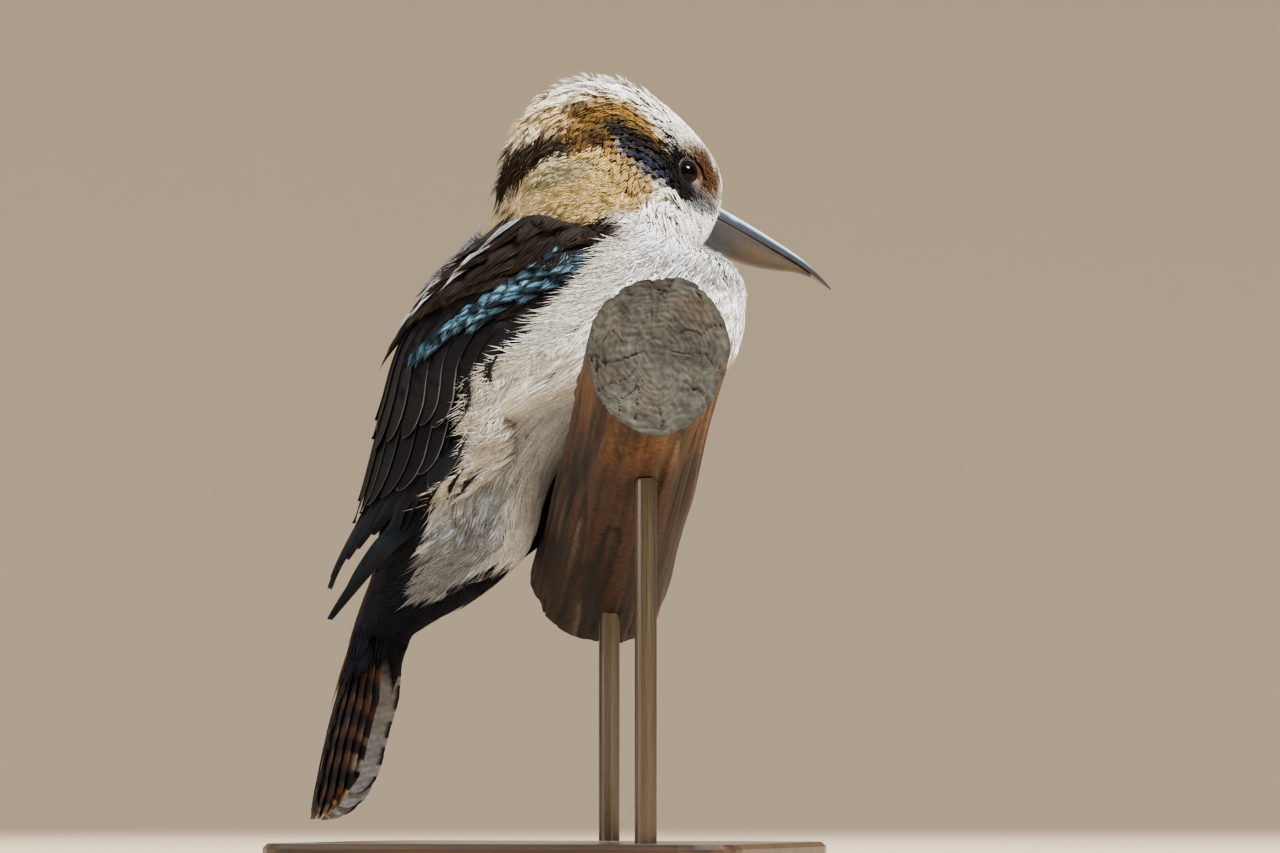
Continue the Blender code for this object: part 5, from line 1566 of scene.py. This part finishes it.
def barkHeight(along, angle):
    # weathered wood: long shallow furrows, smaller streaks along the grain, a knot, and a calm
    # stretch where the feet stand
    calm = np.exp(-(((along - logLook["calm"][0]) / logLook["calm"][1]) ** 4))
    across, upward = np.cos(angle) * logLook["patternRadius"], np.sin(angle) * logLook["patternRadius"]
    ringPlace, finePlace = places(across, upward, along / 11.0), places(across, upward, along / 26.0)
    broad = cloud(ringPlace, 9.0, 21)
    fine = cloud(finePlace, 2.6, 22)
    furrow = -np.exp(-((cloud(ringPlace, 5.5, 23) / 0.09) ** 2))
    wave = sum(size * np.sin(n * angle + shift + along / span) for size, n, shift, span in logLook["waves"])
    knotAlong, knotAngle = logLook["knot"]
    away = np.hypot(along - knotAlong, ((angle - knotAngle + np.pi) % (2 * np.pi) - np.pi) * logRadius * 1.4)
    knot = 1.3 * np.exp(-((away - 6.0) ** 2) / 7.0) - 3.0 * np.exp(-(away**2) / 9.0)
    rough = broad * 0.6 + fine * 0.65 + furrow * 1.0
    return wave * (1 - calm) + rough * (1 - 0.85 * calm) + knot - 0.25, away, broad, fine, furrow


def logEndDisc(rim, near, angle):
    # an end of the log: a disc with faint year rings, thin cracks that wander in from the rim, and a
    # rough sawn face with scratches across it
    shares = np.linspace(1, 0.01, 110)[1:, None]
    heart = rim.mean(0) + (logUp * 3.0 - logFront * 2.0 if near else 0)
    disc = heart + (rim[None] - heart) * shares[..., None]
    flat = places(np.cos(angle) * shares * logRadius, np.sin(angle) * shares * logRadius, 0.0)
    wobble = cloud(flat, 11.0, 31) * 2.6 + cloud(flat, 3.5, 30) * 0.5
    ringWave = np.sin((shares * logRadius + wobble) / logLook["ringStep"] * 2 * np.pi)
    crack = np.zeros(wobble.shape)
    rng = np.random.default_rng(7)
    count = logLook["cracks"]
    for start in (np.arange(count) + rng.uniform(-0.4, 0.4, count)) * 2 * np.pi / count:
        reach, width = rng.uniform(0.05, 0.8) ** 0.7, rng.uniform(0.16, 0.42)
        bent = 0.22 * cloud(flat + [start * 40, 0, 0], 6.0, 33) + 0.05 * cloud(flat, 1.6, 34)
        gone = (angle - start - bent + np.pi) % (2 * np.pi) - np.pi
        line = np.exp(-((gone * shares * logRadius / width) ** 2))
        crack = np.maximum(crack, line * ease((shares - reach) / 0.2) * ease((0.995 - shares) / 0.02))
    scratch = cloud(flat @ np.array([(0.86, 0.5, 0), (-0.06, 0.1, 0), (0, 0, 1.0)]), 1.1, 37)
    rough = cloud(flat, 1.7, 35) * 0.22 + cloud(flat, 5.0, 36) * 0.4 + scratch * 0.12
    out = -logWay if near else logWay
    level = ease((1 - shares) / 0.06)
    disc = disc + ((0.05 * ringWave + rough) * level - 1.0 * crack * level)[..., None] * out
    face = mixRows(logTones["ringLow"], logTones["ringHigh"], 0.5 + 0.5 * ringWave)
    face = face * (1 + 0.30 * cloud(flat, 4.5, 38) + 0.2 * cloud(flat, 1.3, 39) + 0.22 * scratch)[..., None]
    return disc, paint(face, logTones, [
        ("stain", 0.75 * ease(cloud(flat, 13.0, 40) * 1.2 + 0.15)),
        ("warm", 0.4 * ease(cloud(flat, 9.0, 41) * 1.4 - 0.3)),
        ("rim", 0.6 * ease((shares - 0.93) / 0.06)),
        ("crack", clamp(crack) * 0.9),
    ])


def makeLog():
    angle = np.linspace(0, 2 * np.pi, logLook["sides"], endpoint=False)[None]
    steps = np.linspace(0, logLength, logLook["rows"])[:, None]
    slope = logWay[2] / math.hypot(logWay[0], logWay[1])
    along = steps + logRadius * slope * np.cos(angle) * (1 - steps / logLength)
    height, away, broad, fine, furrow = barkHeight(along, angle)
    rings = logPoint(along, angle + 0 * along, height)
    streak = cloud(places(np.cos(angle) * logRadius, np.sin(angle) * logRadius, along / 22.0), 1.6, 24)
    # dark stains from the noise, darker further along the log, and painted shade in the furrows
    stainsAndFurrowShade = 0.32 + broad * 0.6 - furrow * 0.5 + streak * 0.6 - fine * 0.3 + 0.3 * ease((along - 70) / 90)
    colour = paint(np.broadcast_to(logTones["red"], height.shape + (3,)), logTones, [
        ("dark", ease(stainsAndFurrowShade)),
        ("orange", 0.85 * ease((66 - along) / 45 + broad * 0.5) * ease(0.75 - broad - 0.4 * streak)),
        ("pale", 0.55 * ease((fine + 0.5 * streak - 0.42) / 0.25) * ease((broad + 0.1) / 0.4)),
        ("moss", 0.75 * ease((5.0 - along) / 8 + fine * 0.4)),
        ("dark", clamp(np.exp(-(away**2) / 10.0) * 1.2)),
        ("orange", 0.7 * np.exp(-((away - 6.5) ** 2) / 6.0)),
    ])
    nearDisc, nearTone = logEndDisc(rings[0], True, angle)
    farDisc, farTone = logEndDisc(rings[-1], False, angle)
    rings = np.concatenate([nearDisc[::-1], rings, farDisc])
    colour = np.concatenate([nearTone[::-1], colour, farTone])
    material, shader = startMaterial("weatheredWood", 0.78)
    grain = addPattern(material, "TexNoise", 420.0, Detail=5.0)
    tintShader(material, shader, grain, ((0.3, 0.62), (0.7, 1.35)))
    addBump(material, shader, grain, 0.6, 0.0006)
    obj = tubeObject("logWood", rings, material, colour)
    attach(obj, "root")
    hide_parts("perch_log")
    print("log", len(obj.data.polygons) * 2, "triangles")


print("log")
makeLog()


# the feet

toeLook = {
    # end angle round the log in degrees, sideways start and end, share of the toe's radius
    "inner": (44 * 0.86, 2.2, 8.5, 0.86), "middle": (44, 0.0, 0.6, 1.0),
    "outer": (44 * 0.9, -2.4, -6.8, 0.9), "hind": (-27, 0.6, 3.5, 0.95),
}
footLook = {
    "spots": {"right": 118.0, "left": 149.0}, "radius": 2.8, "taper": 0.22, "knuckle": 0.07, "toeRows": 70,
    "toeSides": 28, "hubAngle": 4.0, "hubRise": 4.7, "hub": (4.3, 4.4, 4.6), "claw": 8.5, "clawGap": 0.55,
    "clawRadius": 1.75, "leg": (-6.0, 2.0, 32.0), "legRadius": (2.6, 5.4),
}
footTones = {
    "skin": (0.10, 0.09, 0.07), "plate": (0.34, 0.31, 0.24), "hub": (0.22, 0.20, 0.155),
    "claw": (0.035, 0.030, 0.028), "clawRoot": (0.09, 0.075, 0.062), "leg": (0.20, 0.18, 0.14),
    "legDown": (0.66, 0.62, 0.53),
}


def pathTube(path, radii, sides, shape=1.0):
    # a round tube carried along a path on a frame that turns no more than the path does
    along = unit(np.gradient(path, axis=0))
    angle = np.linspace(0, 2 * np.pi, sides, endpoint=False)
    guide = np.broadcast_to(logUp, along.shape)
    guide = unit(guide - along * (guide * along).sum(-1, keepdims=True))
    other = np.cross(along, guide)
    ring = np.cos(angle)[None, :, None] * guide[:, None] + np.sin(angle)[None, :, None] * other[:, None]
    return path[:, None] + ring * (radii[:, None] * shape)[..., None]


def roundedEnds(radii, share=0.06):
    # draws the radius in at both ends as a quarter of an ellipse
    s = np.linspace(0, 1, len(radii))
    away = np.minimum(s, 1 - s) / share
    return radii * np.sqrt(np.clip(1 - (1 - np.clip(away, 0, 1)) ** 2, 0.02, 1))


def ridges(s, count):
    return np.abs(np.sin(s * math.pi * count))[:, None]


def makeFoot(side, skin, horn):
    spotAlong = footLook["spots"][side]
    toward = -1.0 if side == "left" else 1.0
    points, quads, tris, quadMaps, triMaps, colours = [], [], [], [], [], []
    hubRad = math.radians(footLook["hubAngle"])

    def keepPart(rings, colour, scale, shift, flip=False):
        # adds a closed part to the foot's one mesh, with its own stretch of the map
        offset = sum(len(part) for part in points)
        part, faces, uv = tubeArrays(rings, flip)
        uv = uv * scale + shift
        points.append(part)
        quads.append(faces[0] + offset)
        tris.append(faces[1] + offset)
        quadMaps.append(uv[:len(faces[0]) * 4])
        triMaps.append(uv[len(faces[0]) * 4:])
        colours.append(capRows(colour, *rings.shape[:2]))

    rows, sides = footLook["toeRows"], footLook["toeSides"]
    s = np.linspace(0, 1, rows)
    onTop = ease((np.cos(np.linspace(0, 2 * np.pi, sides, endpoint=False)) + 0.25) / 0.5)[None]
    for order, (toe, (endDegrees, side0, side1, size)) in enumerate(toeLook.items()):
        endAngle = math.radians(endDegrees)
        radius = footLook["radius"] * size * (1 - footLook["taper"] * s)
        radius = radius * (1 + footLook["knuckle"] * np.cos(s * 4 * np.pi))
        angle = hubRad + (endAngle - hubRad) * s
        path = logPoint(spotAlong + toward * (side0 + (side1 - side0) * s), angle, radius + 0.3)
        plates = ridges(s, 11) ** 0.5
        pads = 0.05 * ridges(s, 5) * (1 - onTop)
        rings = pathTube(path, roundedEnds(radius, 0.08), sides, 0.93 + 0.075 * plates * onTop + pads)
        tone = mixRows(footTones["skin"], footTones["plate"], plates * onTop * 0.9 + 0.1)
        keepPart(rings, tone, [0.96, 0.22], [0.02, 0.02 + 0.19 * order])
        # the claw: a curved point that carries the toe on down the log
        arc = abs(endAngle - hubRad) * (logRadius + footLook["radius"])
        t = np.linspace(0, 1, 40)
        reach = 1 + (footLook["clawGap"] + footLook["claw"] * t) / arc
        clawAngle = hubRad + (endAngle - hubRad) * reach
        lift = radius[-1] + 0.3 + 1.1 * np.sin(np.pi * t * 0.9) - (radius[-1] - 0.5) * t**2
        clawPath = logPoint(spotAlong + toward * (side0 + (side1 - side0) * reach), clawAngle, lift)
        clawRings = pathTube(clawPath, footLook["clawRadius"] * size * (1 - t) ** 0.7 + 0.2, 20)
        tone = mixRows(footTones["claw"], footTones["clawRoot"], (1 - t)[:, None] + 0 * clawRings[..., 0])
        claw = tubeObject(f"clawHorn_{toe}_{side}", clawRings, horn, tone)
        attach(claw, "root")
        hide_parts(f"claw_{toe}_{side}")
    # the hub where the toes meet: a pebbled ball
    polar = np.linspace(0.05, np.pi - 0.05, 30)[:, None]
    turn = np.linspace(0, 2 * np.pi, 36, endpoint=False)[None]
    centre = logPoint(np.array(spotAlong), np.array(hubRad / 2), footLook["hubRise"])
    a, b, c = footLook["hub"]
    pebble = 1 + 0.05 * cloud(places(np.cos(polar) * 5, np.cos(turn) * 5, np.sin(turn) * 5), 1.2, 5)
    hub = (centre + (a * np.cos(polar) * pebble)[..., None] * logUp
           + (b * np.sin(polar) * np.cos(turn) * pebble)[..., None] * logWay
           + (c * np.sin(polar) * np.sin(turn) * pebble)[..., None] * logFront)
    keepPart(hub, np.broadcast_to(footTones["hub"], hub.shape), [0.96, 0.18], [0.02, 0.8], flip=True)
    foot = makeMesh(
        "footSkin_" + side, np.concatenate(points), [np.concatenate(quads), np.concatenate(tris)],
        {"OFBake": np.concatenate(quadMaps + triMaps)}, {"plumage": np.concatenate(colours)}, skin,
    )
    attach(foot, "root")
    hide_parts("foot_" + side)
    # the leg, from the foot up into the belly, bare at the foot and downy above
    sign = 1 if side == "left" else -1
    t = np.linspace(0, 1, 60)
    path = centre + np.array(footLook["leg"]) * [1, sign, 1] * (0.08 + 0.92 * t)[:, None]
    radii = footLook["legRadius"][0] + footLook["legRadius"][1] * clamp(t / 0.45) ** 2
    flat = np.zeros(32)
    rings = pathTube(path, roundedEnds(radii, 0.04), 32, 0.95 + 0.05 * ridges(t, 16) ** 0.5 + flat)
    tone = mixRows(footTones["leg"], footTones["legDown"], ease((t - 0.16) / 0.12)[:, None] + flat)
    leg = tubeObject("legSkin_" + side, rings, skin, tone)
    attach(leg, "root")
    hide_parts("leg_" + side)


def skinMaterial(name, roughness, grain, strength):
    # small scales with dark gaps
    material, shader = startMaterial(name, roughness)
    cells = addPattern(material, "TexVoronoi", grain, output="Distance")
    tintShader(material, shader, cells, ((0.0, 1.15), (0.7, 0.7)))
    addBump(material, shader, cells, strength, 0.0003, invert=True)
    return material


print("feet")
footScales = skinMaterial("footScales", 0.55, 900.0, 0.5)
clawFinish = hornMaterial("clawHorn", 0.3, 0.15)
for footSide in ("left", "right"):
    makeFoot(footSide, footScales, clawFinish)


# the stand


standLook = {
    "wood": [(0.3, (0.018, 0.010, 0.007)), (0.55, (0.055, 0.028, 0.017)), (0.8, (0.10, 0.052, 0.030))],
    "steel": (0.17, 0.145, 0.12, 1.0), "brush": ((0.3, 0.24), (0.7, 0.42)),
}


def dressStand():
    wood, shader = startMaterial("darkWood", 0.35, Coat_Weight=0.4, Coat_Roughness=0.15)
    grain = addPattern(wood, "TexNoise", 1.0, (8.0, 130.0, 130.0), Detail=8.0, Distortion=0.6)
    linkTo(wood, shader, "Base Color", addRamp(wood, grain, standLook["wood"]).outputs[0])
    addBump(wood, shader, grain, 0.15, 0.0005)
    steel, shader = startMaterial("brushedSteel", 0.32, Metallic=1.0)
    shader.inputs["Base Color"].default_value = standLook["steel"]
    brush = addPattern(steel, "TexNoise", 1.0, (2600.0, 2600.0, 40.0), Detail=3.0)
    linkTo(steel, shader, "Roughness", addRamp(steel, brush, greyStops(standLook["brush"])).outputs[0])
    for name, finish in (("stand_base", wood), ("stand_rod_1", steel), ("stand_rod_2", steel)):
        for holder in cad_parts[name].material_slots:
            holder.material = finish


print("stand")
dressStand()


# the room, lights and camera

viewLook = {"target": (0.033, 0.022, 0.190), "azimuth": 18.0, "elevation": -4.5, "distance": 2.0, "span": 0.544}
# the floor runs flat to "flat", then curves up with the radius "curve", and the wall stands on it
roomLook = {
    "flat": 3.2, "curve": 2.8, "wall": [4.0, 5.5], "tone": (0.60, 0.50, 0.375, 1.0),
    "sky": (0.93, 0.96, 1.0, 1.0), "skyStrength": 0.85,
}
roomLights = (
    # name, place, watts, size, colour
    ("keyLight", (1.35, -0.6, 1.75), 118.0, 0.5, (1.0, 0.985, 0.95)),
    ("sideLight", (-1.5, -1.1, 0.9), 17.0, 0.9, (0.86, 0.92, 1.0)),
    ("backLight", (-0.5, 1.2, 1.5), 24.0, 0.8, (1.0, 0.98, 0.95)),
)


def aimAt(obj, target):
    x, y, z = np.asarray(target) - np.asarray(obj.location)
    obj.rotation_euler = (math.atan2(math.hypot(x, y), -z), 0.0, math.atan2(y, x) - math.pi / 2)


def makeRoom():
    # a plain floor that curves up into a plain wall all round, well behind the camera
    flat, curve = roomLook["flat"], roomLook["curve"]
    bend = np.linspace(0, np.pi / 2, 24)[1:]
    reach = np.concatenate([np.linspace(0.02, flat, 6), flat + curve * np.sin(bend), [flat + curve] * 2])
    height = np.concatenate([np.zeros(6), curve * (1 - np.cos(bend)), roomLook["wall"]])[:, None]
    turn = np.linspace(0, 2 * np.pi, 96, endpoint=False)
    rings = places(reach[:, None] * np.cos(turn), reach[:, None] * np.sin(turn), height)
    sides = len(turn)
    i, j = np.meshgrid(np.arange(len(reach) - 1), np.arange(sides), indexing="ij")
    row, k = i * sides, (j + 1) % sides
    quads = np.stack([row + j, row + sides + j, row + sides + k, row + k], -1).reshape(-1, 4)
    hub = np.stack([np.arange(sides), (np.arange(sides) + 1) % sides, np.full(sides, rings.size // 3)], -1)
    points = np.concatenate([rings.reshape(-1, 3), [[0, 0, 0]]]) / mm - birdPlace
    material, shader = startMaterial("paleRoom", 0.9, Specular_IOR_Level=0.1)
    shader.inputs["Base Color"].default_value = roomLook["tone"]
    room = makeMesh("studioRoom", points, [quads, hub], material=material)
    world = bpy.data.worlds.new("studio")
    bpy.context.scene.world = world
    world.use_nodes = True
    background = world.node_tree.nodes["Background"]
    background.inputs["Color"].default_value = roomLook["sky"]
    background.inputs["Strength"].default_value = roomLook["skyStrength"]
    for name, place, power, size, tint in roomLights:
        light = bpy.data.lights.new(name, "AREA")
        light.energy, light.size, light.color = power, size, tint
        lamp = bpy.data.objects.new(name, light)
        lamp.location = place
        aimAt(lamp, viewLook["target"])
        bpy.context.scene.collection.objects.link(lamp)


def makeCamera():
    azimuth, elevation = math.radians(viewLook["azimuth"]), math.radians(viewLook["elevation"])
    back = np.array([math.sin(azimuth) * math.cos(elevation), -math.cos(azimuth) * math.cos(elevation),
                     math.sin(elevation)])
    camera = bpy.data.cameras.new("photoView")
    camera.sensor_fit, camera.sensor_width = "HORIZONTAL", 36.0
    camera.lens = camera.sensor_width * viewLook["distance"] / viewLook["span"]
    holder = bpy.data.objects.new("photoView", camera)
    holder.location = np.array(viewLook["target"]) + back * viewLook["distance"]
    aimAt(holder, viewLook["target"])
    bpy.context.scene.collection.objects.link(holder)
    bpy.context.scene.camera = holder


print("room")
bpy.context.scene.view_settings.look = "AgX - Medium High Contrast"
makeRoom()
makeCamera()
